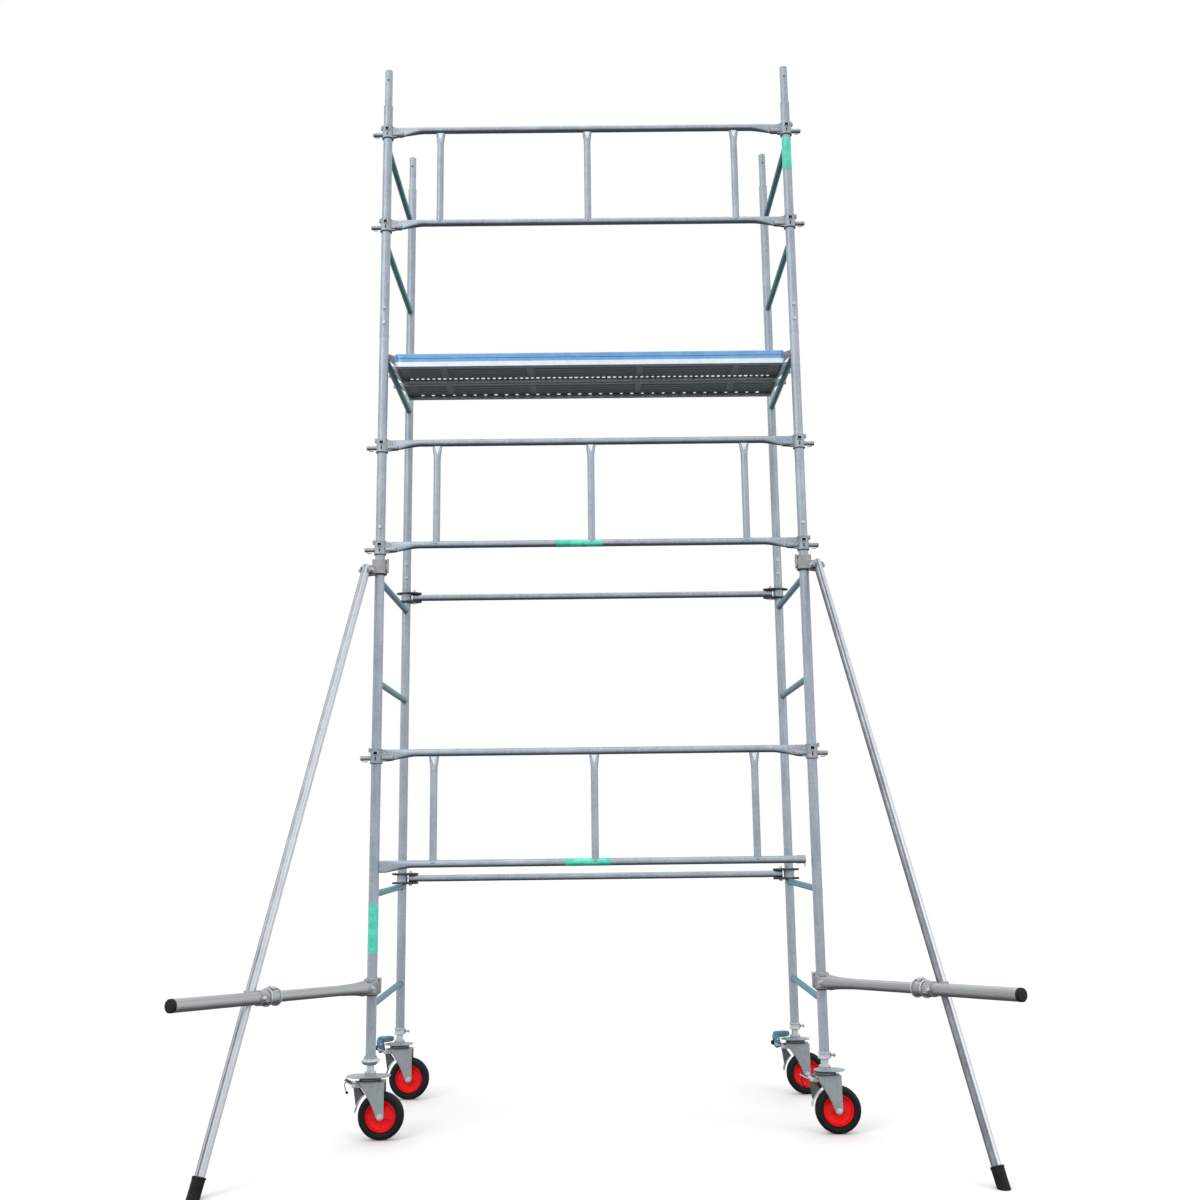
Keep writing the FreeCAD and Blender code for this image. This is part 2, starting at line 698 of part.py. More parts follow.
def collar(corner, x, y):
    """Ring under an upright; the front left one is a broad hexagon nut."""
    if corner == "front_left":
        hexagon = [V(x + nut_width / 2 * math.cos(math.radians(60 * i)),
                     y + nut_width / 2 * math.sin(math.radians(60 * i)), collar_bottom) for i in range(7)]
        body = Part.Face(Part.makePolygon(hexagon)).extrude(V(0, 0, collar_height))
    else:
        body = rod(V(x, y, collar_bottom), V(Z), collar_height, upright_diameter + 2 * collar_wall)
    return body.cut(rod(V(x, y, collar_bottom - 5.0), V(Z), collar_height + 10.0, stem_diameter + 1.0))


def wing_bolt(x, y):
    """The bolt that locks a stem in its ring."""
    middle = collar_bottom + collar_height / 2
    start = V(x + stem_diameter / 2 + 1.0, y, middle)
    bolt = rod(start, V(X), collar_bolt_length, collar_bolt_diameter)
    wing = block((start.x + collar_bolt_length - 3.0, y, middle), (6.0, wing_span, 12.0))
    return bolt.fuse(wing).removeSplitter()


def bolt_seat(x, y):
    start = V(x + stem_diameter / 2 - 4.0, y, collar_bottom + collar_height / 2)
    return rod(start, V(X), collar_bolt_length, collar_bolt_diameter + 0.4)


def make_castors():
    parts = {"leg": [castor_leg()], "fork": castor_fork(), "wheel_hub": [castor_hub()],
             "tyre": [castor_tyre()], "brake_pedal": [castor_pedal()]}
    collars, bolts = [], []
    for corner, (x, y) in corners.items():
        for name, solids in parts.items():
            nodes[f"{corner}_{name}"] = [placed(solid, 0.0, x, y) for solid in solids]
        ring = collar(corner, x, y)
        if corner != "front_left":
            ring = ring.cut(bolt_seat(x, y))
            bolts.append(wing_bolt(x, y))
        collars.append(ring)
    nodes["leg_collars"] = collars
    nodes["collar_wing_bolts"] = bolts


def brace_line():
    """Start, direction and length of the brace axis, in the stabiliser's own plane."""
    start = V(brace_start, tube_offset, brace_clamp_height)
    foot = V(foot_distance, tube_offset, 0)
    run = foot - start
    return start, run, run.Length


def arm_direction():
    angle = math.radians(arm_rise)
    return V(math.cos(angle), 0, math.sin(angle))


def arm_point(distance):
    along = (distance - arm_start) / math.cos(math.radians(arm_rise))
    return V(arm_start, -tube_offset, arm_clamp_height) + arm_direction() * along


def crossing_distance():
    """Distance from the upright at which the brace passes the arm."""
    start, run, _ = brace_line()
    slope = math.tan(math.radians(arm_rise))
    fall = -run.z / run.x
    return (start.z + fall * start.x - arm_clamp_height + slope * arm_start) / (fall + slope)


def sleeve(height, side, at, diameter):
    """A clamp sleeve with a lug beside its tube, and the bolt through lug and tube."""
    outer = upright_diameter + 2 * (sleeve_clearance + sleeve_wall)
    band = rod(V(0, 0, height - sleeve_height / 2), V(Z), sleeve_height, outer)
    near = tube_offset - diameter / 2 - lug_play - lug_thickness
    lug_end = at.x + lug_reach / 2
    low, high = height - sleeve_height * 0.45, height + sleeve_height * 0.45
    lug = Part.makeBox(lug_end, lug_thickness, high - low,
                       V(0, min(side * near, side * (near + lug_thickness)), low))
    band = band.fuse(lug).cut(rod(V(0, 0, height - sleeve_height), V(Z), 2 * sleeve_height,
                                  upright_diameter + 2 * sleeve_clearance))
    head = lug_bolt_diameter * 0.6
    start = near - head
    length = tube_offset + diameter / 2 + head - start
    bolt = rod(V(at.x, side * start, at.z), V(0, side, 0), length, lug_bolt_diameter)
    for offset in (0.0, length - head):
        bolt = bolt.fuse(rod(V(at.x, side * (start + offset), at.z), V(0, side, 0), head,
                             lug_bolt_diameter * 1.7))
    band = band.cut(bolt_hole(at))
    return band, bolt.removeSplitter()


def bolt_hole(at):
    span = tube_offset + arm_outer_diameter
    return rod(V(at.x, -span, at.z), V(Y), 2 * span, lug_bolt_diameter + 0.4)


def coupler():
    """Two rings back to back where brace and arm cross: the arm slides in its ring."""
    distance = crossing_distance()
    on_arm = arm_point(distance)
    start, run, _ = brace_line()
    on_brace = V(on_arm.x, tube_offset, on_arm.z)
    down = V(run).normalize()
    along = arm_direction()
    arm_bore = arm_outer_diameter + 2 * coupler_clearance
    brace_bore = brace_diameter + 2 * coupler_clearance
    rings = []
    for centre, axis, bore in ((on_arm, along, arm_bore), (on_brace, down, brace_bore)):
        rings.append(rod(centre - axis * (coupler_width / 2), axis, coupler_width, bore + 2 * coupler_wall))
    spacer = rod(V(on_arm.x, -tube_offset, on_arm.z), V(Y), 2 * tube_offset, coupler_width * 0.6)
    body = rings[0].fuse([rings[1], spacer])
    for centre, axis, bore in ((on_arm, along, arm_bore), (on_brace, down, brace_bore)):
        body = body.cut(rod(centre - axis * 60.0, axis, 120.0, bore))
    return body


def arm_outer_start():
    """The sliding tube begins with its collar just short of the coupler."""
    return crossing_distance() - coupler_width / 2 - coupler_space - arm_collar_length


def arm_outer():
    bore = arm_inner_diameter + 2 * arm_clearance
    start = arm_point(arm_outer_start())
    along = arm_direction()
    length = (arm_point(arm_end) - start).Length
    body = rod(start, along, length, arm_outer_diameter)
    collar_diameter = arm_outer_diameter + 2 * arm_collar_wall
    body = body.fuse(rod(start, along, arm_collar_length, collar_diameter - 4.0))
    for offset in (0.0, arm_collar_length - arm_collar_flange):
        body = body.fuse(rod(start + along * offset, along, arm_collar_flange, collar_diameter + 6.0))
    return body.cut(rod(start - along, along, length + 2.0, bore)).removeSplitter()


def stabiliser():
    """The stabiliser's pieces, drawn along +X from the upright's axis at the origin."""
    start, run, length = brace_line()
    down = V(run).normalize()
    along = arm_direction()
    brace_bolt = start + down * lug_inset
    arm_bolt = arm_point(arm_start) + along * lug_inset
    upper, upper_bolt = sleeve(brace_clamp_height, 1, brace_bolt, brace_diameter)
    lower, lower_bolt = sleeve(arm_clamp_height, -1, arm_bolt, arm_inner_diameter)
    tube_length = length - foot_length / 2
    brace = tube(start, V(down), tube_length, brace_diameter, brace_diameter - 2 * brace_wall)
    brace = brace.cut(bolt_hole(brace_bolt))
    foot = rod(start + down * (length - foot_length), down, 2 * foot_length, foot_diameter)
    foot = foot.cut(rod(start, down, tube_length, brace_diameter))
    foot = foot.cut(Part.makeBox(4000.0, 4000.0, 400.0, V(-1000.0, -2000.0, -400.0)))
    inner_length = (arm_point(arm_outer_start()) - arm_point(arm_start)).Length
    inner_length += arm_collar_length + arm_overlap
    arm_inner = tube(arm_point(arm_start), along, inner_length, arm_inner_diameter,
                     arm_inner_diameter - 2 * arm_wall).cut(bolt_hole(arm_bolt))
    cap_seat = arm_point(arm_end)
    cap = rod(cap_seat, arm_direction(), arm_cap_length * 0.4, arm_outer_diameter)
    plug = arm_inner_diameter - 1.0
    cap = cap.fuse(rod(cap_seat - arm_direction() * arm_cap_length * 0.6, arm_direction(),
                       arm_cap_length * 0.6, plug))
    return {
        "stabiliser_clamps": [upper, lower, upper_bolt, lower_bolt],
        "stabiliser_brace": [brace],
        "stabiliser_foot": [foot],
        "stabiliser_coupler": [coupler()],
        "arm_inner_tube": [arm_inner],
        "arm_outer_tube": [arm_outer()],
        "arm_end_cap": [cap.removeSplitter()],
    }


def make_stabilisers():
    for name, solids in stabiliser().items():
        right = [placed(solid, -stabiliser_angle, half_bay, -half_width) for solid in solids]
        nodes[f"right_{name}"] = right
        nodes[f"left_{name}"] = [solid.mirror(V(0, 0, 0), X) for solid in right]


def footprint_centre(shapes):
    """Middle of the whole object's plan, from the exact extents of its pieces."""
    boxes = [shape.optimalBoundingBox(False, False) for shape in shapes]
    middle_x = (min(b.XMin for b in boxes) + max(b.XMax for b in boxes)) / 2
    middle_y = (min(b.YMin for b in boxes) + max(b.YMax for b in boxes)) / 2
    return V(middle_x, middle_y, 0)


def write_parts():
    """Moves the origin to the footprint's middle and writes one file per node."""
    shapes = {name: Part.makeCompound(solids) if len(solids) > 1 else solids[0]
              for name, solids in nodes.items()}
    centre = footprint_centre(shapes.values())
    os.makedirs("parts", exist_ok=True)
    for name, shape in shapes.items():
        shape.translate(V(0, -centre.y, 0))
        shape.exportStep(f"parts/{name}.step")
    return -centre.y


make_uprights()
make_rungs()
make_spigots()
make_guardrails()
make_pockets()
make_ledgers()
make_platform()
make_castors()
make_stabilisers()
centre_shift = write_parts()
print(f"{len(nodes)} nodes, tower centre at y = {centre_shift:.3f}")
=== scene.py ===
import json
import math
import random

import bmesh
import bpy
from mathutils import Matrix, Vector


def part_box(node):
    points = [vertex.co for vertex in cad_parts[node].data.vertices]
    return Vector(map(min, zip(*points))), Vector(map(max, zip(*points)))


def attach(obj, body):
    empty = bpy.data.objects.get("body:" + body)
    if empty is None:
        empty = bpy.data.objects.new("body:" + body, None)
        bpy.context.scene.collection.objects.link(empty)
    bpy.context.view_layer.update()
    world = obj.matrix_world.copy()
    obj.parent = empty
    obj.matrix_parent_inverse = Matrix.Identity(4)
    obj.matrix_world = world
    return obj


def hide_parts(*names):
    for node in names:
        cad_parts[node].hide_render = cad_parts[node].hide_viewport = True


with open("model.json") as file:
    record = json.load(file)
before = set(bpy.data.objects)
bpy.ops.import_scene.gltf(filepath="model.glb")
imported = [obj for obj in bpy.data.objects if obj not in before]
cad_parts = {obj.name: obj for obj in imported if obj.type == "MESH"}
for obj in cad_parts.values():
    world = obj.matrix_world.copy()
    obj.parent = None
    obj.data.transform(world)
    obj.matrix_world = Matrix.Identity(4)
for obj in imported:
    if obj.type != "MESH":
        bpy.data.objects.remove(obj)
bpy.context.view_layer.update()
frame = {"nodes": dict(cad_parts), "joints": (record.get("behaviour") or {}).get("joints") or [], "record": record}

nodes = frame["nodes"]
record = frame["record"]
joints = {joint["name"]: joint for joint in frame["joints"]}
corners = ("front_left", "front_right", "rear_left", "rear_right")
sides = {"left": -1.0, "right": 1.0}
print("frame loaded:", len(nodes), "nodes")


# a shader socket that takes part in ordinary arithmetic
class Flow:
    def __init__(self, tree, socket):
        self.tree = tree
        self.socket = socket

    def calc(self, operation, other):
        return self.tree.add("ShaderNodeMath", {"operation": operation}, [self, other])

    def __add__(self, other):
        return self.calc("ADD", other)

    def __sub__(self, other):
        return self.calc("SUBTRACT", other)

    def __mul__(self, other):
        return self.calc("MULTIPLY", other)

    def atMost(self, other):
        return self.calc("MINIMUM", other)


# one material while its nodes are being laid
class Finish:
    def __init__(self, name):
        self.material = bpy.data.materials.new(name)
        self.material.use_nodes = True
        self.nodes = self.material.node_tree.nodes
        self.links = self.material.node_tree.links
        self.shader = self.nodes["Principled BSDF"]
        self.place = self.add("ShaderNodeTexCoord", {}, {}, "Object")

    def add(self, kind, settings, values, output=0):
        node = self.nodes.new(kind)
        for key, value in settings.items():
            if key == "stops":
                ramp = node.color_ramp
                while len(ramp.elements) < len(value):
                    ramp.elements.new(0.5)
                for element, (position, colour) in zip(ramp.elements, value):
                    element.position = position
                    element.color = colour
            else:
                setattr(node, key, value)
        pairs = values.items() if isinstance(values, dict) else enumerate(values)
        for key, value in pairs:
            if isinstance(value, Flow):
                self.links.new(value.socket, node.inputs[key])
            else:
                node.inputs[key].default_value = value
        return Flow(self, node.outputs[output])

    def noise(self, scale, detail=4.0, rough=0.55, stretch=None):
        place = self.place if stretch is None else self.stretched(stretch)
        return self.add("ShaderNodeTexNoise", {}, {"Vector": place, "Scale": scale, "Detail": detail,
                                                   "Roughness": rough})

    def stretched(self, amounts):
        return self.add("ShaderNodeVectorMath", {"operation": "MULTIPLY"}, [self.place, amounts])

    def cells(self, scale):
        return self.add("ShaderNodeTexVoronoi", {}, {"Vector": self.place, "Scale": scale}, "Color")

    def ramp(self, factor, low, high):
        # a soft step between two levels
        return self.add("ShaderNodeMapRange", {"interpolation_type": "SMOOTHSTEP"},
                        {"Value": factor, "From Min": low, "From Max": high})

    def tint(self, factor, first, second, mode="MIX"):
        settings = {"data_type": "RGBA", "blend_type": mode}
        return self.add("ShaderNodeMix", settings, {0: factor, 6: first, 7: second}, 2)

    def height(self):
        return self.add("ShaderNodeSeparateXYZ", {}, [self.place], 2)

    def upward(self):
        # how far a surface faces up, in the part's own frame
        normal = self.add("ShaderNodeTexCoord", {}, {}, "Normal")
        return self.add("ShaderNodeSeparateXYZ", {}, [normal], 2)

    def streaks(self, scale):
        # painted highlight and dark streaks: changes round a tube, but not along it
        normal = self.add("ShaderNodeTexCoord", {}, {}, "Normal")
        return self.add("ShaderNodeTexNoise", {}, {"Vector": normal, "Scale": scale, "Detail": 3.0})

    # painted shade: how far a surface faces down; the finishes darken such faces in their base colour
    def paintedUndersideShade(self):
        return self.ramp(self.upward(), -0.18, -0.72)

    def edges(self, radius=0.004):
        # bright where a surface turns sharply
        bevel = self.add("ShaderNodeBevel", {"samples": 4}, {"Radius": radius})
        normal = self.add("ShaderNodeNewGeometry", {}, {}, "Normal")
        turn = self.add("ShaderNodeVectorMath", {"operation": "DOT_PRODUCT"}, [bevel, normal], "Value")
        return self.ramp(turn, 0.998, 0.93)

    def finish(self, colour, rough, metallic, bump=None, strength=0.2, distance=0.001, **constants):
        def give(name, value):
            if isinstance(value, Flow):
                self.links.new(value.socket, self.shader.inputs[name])
            else:
                self.shader.inputs[name].default_value = value
        give("Base Color", colour)
        give("Roughness", rough)
        give("Metallic", metallic)
        for name, value in constants.items():
            give(name.replace("_", " "), value)
        if bump is not None:
            normal = self.add("ShaderNodeBump", {}, {"Strength": strength, "Distance": distance,
                                                     "Height": bump})
            give("Normal", normal)
        return self.material


# hot-dip galvanising: soft crystals, drawn lines, grime towards the floor, painted shade on undersides (each
# look's under colour)
galvanisedLook = {"dark": (0.275, 0.330, 0.385, 1), "light": (0.415, 0.475, 0.540, 1), "crystal": 110.0,
                  "grime": (0.20, 0.215, 0.225, 1), "chalk": (0.56, 0.61, 0.66, 1),
                  "under": (0.040, 0.054, 0.070, 1)}
sheetLook = {"dark": (0.250, 0.300, 0.340, 1), "light": (0.40, 0.46, 0.51, 1), "crystal": 60.0,
             "grime": (0.20, 0.21, 0.21, 1), "chalk": (0.56, 0.62, 0.66, 1),
             "under": (0.045, 0.066, 0.078, 1)}
faceLook = {"dark": (0.125, 0.315, 0.600, 1), "light": (0.190, 0.410, 0.715, 1), "crystal": 60.0,
            "grime": (0.14, 0.27, 0.45, 1), "chalk": (0.36, 0.56, 0.80, 1), "under": (0.05, 0.12, 0.25, 1)}
lipLook = {"dark": (0.66, 0.76, 0.86, 1), "light": (0.82, 0.90, 0.955, 1), "crystal": 70.0,
           "grime": (0.50, 0.57, 0.63, 1), "chalk": (0.90, 0.95, 0.98, 1), "under": (0.045, 0.066, 0.078, 1)}
# painted shade: a darker copy of the sheet for the pan under the deck
shadedPanLook = {"dark": (0.13, 0.16, 0.17, 1), "light": (0.22, 0.26, 0.28, 1), "crystal": 60.0,
             "grime": (0.10, 0.11, 0.11, 1), "chalk": (0.30, 0.34, 0.36, 1), "under": (0.14, 0.175, 0.19, 1)}
pressedLook = {"dark": (0.235, 0.275, 0.315, 1), "light": (0.40, 0.445, 0.49, 1), "crystal": 130.0,
               "grime": (0.17, 0.18, 0.19, 1), "chalk": (0.58, 0.62, 0.66, 1),
               "under": (0.07, 0.082, 0.095, 1)}


def galvanised(name, look, drawn=(1.0, 1.0, 0.06), metallic=0.30, baseRough=0.40):
    f = Finish(name)
    crystals = f.cells(look["crystal"])
    grey = f.add("ShaderNodeSeparateColor", {}, [crystals], 0)
    cloud = f.noise(7.0, 5.0, 0.6)
    drawLines = f.noise(140.0, 3.0, 0.6, drawn)
    tone = grey * 0.12 + cloud * 0.55 + drawLines * 0.33
    colour = f.tint(f.ramp(tone, 0.30, 0.70), look["dark"], look["light"])
    chalk = f.ramp(f.noise(24.0, 6.0, 0.7), 0.60, 0.80) * 0.16
    colour = f.tint(chalk, colour, look["chalk"])
    low = f.ramp(f.height(), 0.9, 0.05) * f.ramp(f.noise(17.0, 6.0, 0.65), 0.42, 0.70)
    colour = f.tint(low * 0.30, colour, look["grime"])
    wear = f.edges(0.003)
    colour = f.tint(wear * 0.35, colour, look["chalk"])
    # painted shade: faces turned down are pulled towards the look's under colour
    colour = f.tint(f.paintedUndersideShade() * 0.86, colour, look["under"])
    rough = (grey * 0.06 + cloud * 0.16 + (baseRough - 0.08) + chalk * 0.3).atMost(0.85)
    relief = grey * 0.12 + f.noise(420.0, 4.0, 0.6) * 0.4 + drawLines * 0.48
    return f.finish(colour, rough, metallic, relief, 0.12, 0.0005)


rungLook = {"paint": (0.012, 0.150, 0.185, 1), "pale": (0.040, 0.245, 0.285, 1),
            "bare": (0.36, 0.42, 0.46, 1), "top": (0.070, 0.250, 0.300, 1), "under": (0.010, 0.065, 0.075, 1)}


def rungPaint():
    f = Finish("rungPaint")
    cloud = f.noise(14.0, 4.0, 0.6)
    fine = f.noise(260.0, 5.0, 0.65)
    colour = f.tint(f.ramp(cloud, 0.3, 0.75), rungLook["paint"], rungLook["pale"])
    # lighter teal on faces turned up
    upFacingLighter = f.ramp(f.upward(), 0.2, 0.95)
    colour = f.tint(upFacingLighter * (cloud * 0.4 + 0.45), colour, rungLook["top"])
    chips = f.ramp(f.noise(75.0, 8.0, 0.7), 0.675, 0.71)
    colour = f.tint(chips * 0.6, colour, rungLook["bare"])
    # painted shade: faces turned down darken towards the rung's under colour
    colour = f.tint(f.paintedUndersideShade() * 0.25, colour, rungLook["under"])
    relief = fine * 0.5 - chips * 0.5
    return f.finish(colour, cloud * 0.2 + 0.30 + chips * 0.15, chips * 0.2 + 0.02, relief, 0.16, 0.0004,
                    Specular_IOR_Level=0.22)


# each look's under colour is painted shade for faces turned down
zincLook = {"dark": (0.42, 0.47, 0.50, 1), "light": (0.66, 0.71, 0.75, 1), "stain": (0.34, 0.32, 0.27, 1),
            "under": (0.11, 0.13, 0.14, 1)}
darkZincLook = {"dark": (0.055, 0.062, 0.066, 1), "light": (0.13, 0.14, 0.145, 1),
                "stain": (0.05, 0.045, 0.04, 1), "under": (0.02, 0.022, 0.024, 1)}
forkLook = {"dark": (0.27, 0.31, 0.335, 1), "light": (0.36, 0.41, 0.44, 1), "stain": (0.22, 0.20, 0.17, 1),
            "under": (0.075, 0.09, 0.10, 1)}
tealLook = {"dark": (0.045, 0.135, 0.195, 1), "light": (0.110, 0.250, 0.330, 1),
            "stain": (0.06, 0.09, 0.11, 1), "under": (0.03, 0.07, 0.10, 1)}


def brightZinc(name, look, rough=0.3, brushed=(1.0, 1.0, 0.2), metallic=0.45):
    f = Finish(name)
    cloud = f.noise(38.0, 5.0, 0.6)
    linesAndSheen = f.noise(420.0, 3.0, 0.6, brushed)
    colour = f.tint(f.ramp(cloud * 0.6 + linesAndSheen * 0.4, 0.3, 0.72), look["dark"], look["light"])
    stain = f.ramp(f.noise(62.0, 6.0, 0.7), 0.63, 0.78)
    colour = f.tint(stain * 0.25, colour, look["stain"])
    wear = f.edges(0.002)
    colour = f.tint(wear * 0.4, colour, look["light"])
    # painted shade: faces turned down go to the look's under colour
    colour = f.tint(f.paintedUndersideShade() * 0.8, colour, look["under"])
    return f.finish(colour, cloud * 0.25 + stain * 0.2 + (rough - 0.10), metallic, linesAndSheen, 0.10, 0.0003)


# each look's under colour is painted shade for faces turned down
clampLook = {"dark": (0.265, 0.285, 0.300, 1), "light": (0.375, 0.395, 0.415, 1),
             "dust": (0.50, 0.52, 0.54, 1), "under": (0.06, 0.065, 0.07, 1)}
darkClampLook = {"dark": (0.018, 0.024, 0.032, 1), "light": (0.050, 0.060, 0.072, 1),
                 "dust": (0.13, 0.15, 0.17, 1), "under": (0.015, 0.016, 0.018, 1)}


def castGrey(name, look, metallic=0.12):
    f = Finish(name)
    cloud = f.noise(26.0, 5.0, 0.6)
    grain = f.noise(520.0, 5.0, 0.7)
    colour = f.tint(f.ramp(cloud, 0.3, 0.72), look["dark"], look["light"])
    wear = f.edges(0.003)
    colour = f.tint(wear * 0.5, colour, look["dust"])
    # painted shade: faces turned down go to the look's under colour
    colour = f.tint(f.paintedUndersideShade() * 0.85, colour, look["under"])
    return f.finish(colour, cloud * 0.15 + 0.50, metallic, grain, 0.3, 0.0005)


# brace and arm: light and dark are painted highlight and dark streaks round the tube; under is painted shade
braceLook = {"dark": (0.105, 0.115, 0.135, 1), "light": (0.60, 0.63, 0.67, 1), "under": (0.13, 0.14, 0.15, 1)}
armLook = {"dark": (0.29, 0.30, 0.31, 1), "light": (0.44, 0.455, 0.46, 1), "under": (0.085, 0.095, 0.10, 1)}


def drawnTubeWithSheen(name, look, drawn, metallic=0.35):
    f = Finish(name)
    linesAndSheen = f.streaks(1.5)
    cloud = f.noise(9.0, 4.0, 0.6)
    fine = f.noise(240.0, 4.0, 0.6, drawn)
    # painted highlight: the streaks swing the colour between dark and light like reflections along the tube
    tone = linesAndSheen * 0.80 + cloud * 0.10 + fine * 0.10
    colour = f.tint(f.ramp(tone, 0.38, 0.60), look["dark"], look["light"])
    scuff = f.ramp(f.noise(55.0, 7.0, 0.7), 0.65, 0.74)
    colour = f.tint(scuff * 0.12, colour, look["dark"])
    # painted shade: faces turned down go to the look's under colour
    colour = f.tint(f.paintedUndersideShade() * 0.85, colour, look["under"])
    return f.finish(colour, linesAndSheen * 0.16 + scuff * 0.2 + 0.22, metallic, fine, 0.10, 0.0004)


daylightLook = {"dark": (0.70, 0.80, 0.84, 1), "light": (0.93, 0.96, 0.97, 1)}


def holeLight():
    # painted light: the lips of the pan's holes glow pale, standing in for the day showing through them
    f = Finish("holeLight")
    cloud = f.noise(90.0, 4.0, 0.6)
    colour = f.tint(f.ramp(cloud, 0.3, 0.7), daylightLook["dark"], daylightLook["light"])
    return f.finish(colour, cloud * 0.2 + 0.3, 0.1, cloud, 0.1, 0.0004, Emission_Color=colour,
                    Emission_Strength=0.62)


rubberLook = {"dark": (0.004, 0.004, 0.0045, 1), "dust": (0.030, 0.029, 0.028, 1)}


def blackRubber(name, look, dusty=0.35):
    f = Finish(name)
    cloud = f.noise(34.0, 6.0, 0.7)
    grain = f.noise(650.0, 4.0, 0.6)
    dust = f.ramp(cloud, 0.48, 0.78) * dusty
    colour = f.tint(dust, look["dark"], look["dust"])
    return f.finish(colour, dust * 0.35 + 0.5, 0.0, grain, 0.25, 0.0006, Specular_IOR_Level=0.25)


coreLook = {"deep": (0.72, 0.001, 0.003, 1), "red": (0.98, 0.002, 0.006, 1), "dust": (0.60, 0.08, 0.06, 1)}


def redCore():
    f = Finish("redCore")
    cloud = f.noise(22.0, 4.0, 0.6)
    colour = f.tint(f.ramp(cloud, 0.25, 0.7), coreLook["deep"], coreLook["red"])
    dust = f.ramp(f.noise(70.0, 8.0, 0.72), 0.60, 0.78)
    colour = f.tint(dust * 0.12, colour, coreLook["dust"])
    grain = f.noise(380.0, 4.0, 0.6)
    return f.finish(colour, dust * 0.3 + cloud * 0.12 + 0.28, 0.0, grain, 0.10, 0.0004, Coat_Weight=0.1,
                    Coat_Roughness=0.2, Specular_IOR_Level=0.2)


labelLook = {"deep": (0.05, 0.55, 0.40, 1), "bright": (0.13, 0.78, 0.60, 1), "faded": (0.42, 0.86, 0.72, 1),
             "under": (0.02, 0.13, 0.10, 1)}


def greenFilm():
    f = Finish("greenFilm")
    cloud = f.noise(26.0, 4.0, 0.6)
    colour = f.tint(f.ramp(cloud, 0.3, 0.7), labelLook["deep"], labelLook["bright"])
    scuff = f.ramp(f.noise(60.0, 7.0, 0.7, (1.0, 1.0, 0.3)), 0.56, 0.72)
    colour = f.tint(scuff * 0.4, colour, labelLook["faded"])
    # painted shade: faces turned down darken towards the label's under colour
    colour = f.tint(f.paintedUndersideShade() * 0.5, colour, labelLook["under"])
    return f.finish(colour, scuff * 0.25 + 0.28, 0.0, f.noise(200.0, 4.0), 0.1, 0.0004)


materials = {
    "galvanised_tube": galvanised("galvanisedTube", galvanisedLook),
    "galvanised_sheet": galvanised("galvanisedSheet", sheetLook, (0.08, 1.0, 1.0), 0.3, 0.36),
    "plank_face": galvanised("plankFace", faceLook, (0.08, 1.0, 1.0), 0.2, 0.36),
    "plank_lip": galvanised("plankLip", lipLook, (0.08, 1.0, 1.0), 0.2, 0.36),
    # painted shade: the darker sheet for the pan under the deck
    "plank_under_shaded": galvanised("plankUnderShaded", shadedPanLook, (0.08, 1.0, 1.0), 0.2, 0.5),
    "hole_light": holeLight(),
    "rung_paint": rungPaint(),
    "pressed_steel": galvanised("pressedSteel", pressedLook, (1.0, 1.0, 1.0), 0.3, 0.44),
    "zinc_fasteners": brightZinc("zincFasteners", zincLook),
    "clamp_grey": castGrey("clampGrey", clampLook),
    "dark_clamp": castGrey("darkClamp", darkClampLook, 0.3),
    "brace_tube": drawnTubeWithSheen("braceTube", braceLook, (1.0, 1.0, 0.05), 0.6),
    "arm_grey": drawnTubeWithSheen("armGrey", armLook, (0.05, 0.05, 1.0)),
    "black_rubber": blackRubber("blackRubber", rubberLook),
    "castor_zinc": brightZinc("castorZinc", forkLook, 0.36, (1.0, 1.0, 0.15), 0.3),
    "socket_dark": blackRubber("socketDark", rubberLook, 0.1),
    "dark_zinc": brightZinc("darkZinc", darkZincLook, 0.4),
    "wheel_red": redCore(),
    "tyre_black": blackRubber("tyreBlack", rubberLook, 0.4),
    "pedal_zinc": brightZinc("pedalZinc", zincLook, 0.34),
    "lever_teal": brightZinc("leverTeal", tealLook, 0.36),
    "label": greenFilm(),
}
slotOf = {part["node"]: part["material_slot"] for part in record["subparts"]}
for name, thing in nodes.items():
    thing.data.materials.clear()
    thing.data.materials.append(materials[slotOf[name]])
print("materials laid:", len(materials))

# mesh work shared by every piece


def frameAt(place, axis, side=(1, 0, 0)):
    # a matrix with Z along the axis and X as near the side as it can be
    z = Vector(axis).normalized()
    x = Vector(side) - z * z.dot(Vector(side))
    if x.length < 0.01:
        x = Vector((0, 1, 0)) - z * z.y
    x.normalize()
    matrix = Matrix((x, z.cross(x), z)).transposed().to_4x4()
    matrix.translation = Vector(place)
    return matrix


def skin(bm, rings, finish=0, caps=True, loop=False):
    rows = [[bm.verts.new(point) for point in ring] for ring in rings]
    pairs = list(zip(rows, rows[1:]))
    if loop:
        pairs.append((rows[-1], rows[0]))
    made = []
    for first, second in pairs:
        for i in range(len(first)):
            j = (i + 1) % len(first)
            made.append(bm.faces.new((first[i], first[j], second[j], second[i])))
    if caps and not loop:
        made += [bm.faces.new(rows[0]), bm.faces.new(rows[-1])]
    for face in made:
        face.material_index = finish


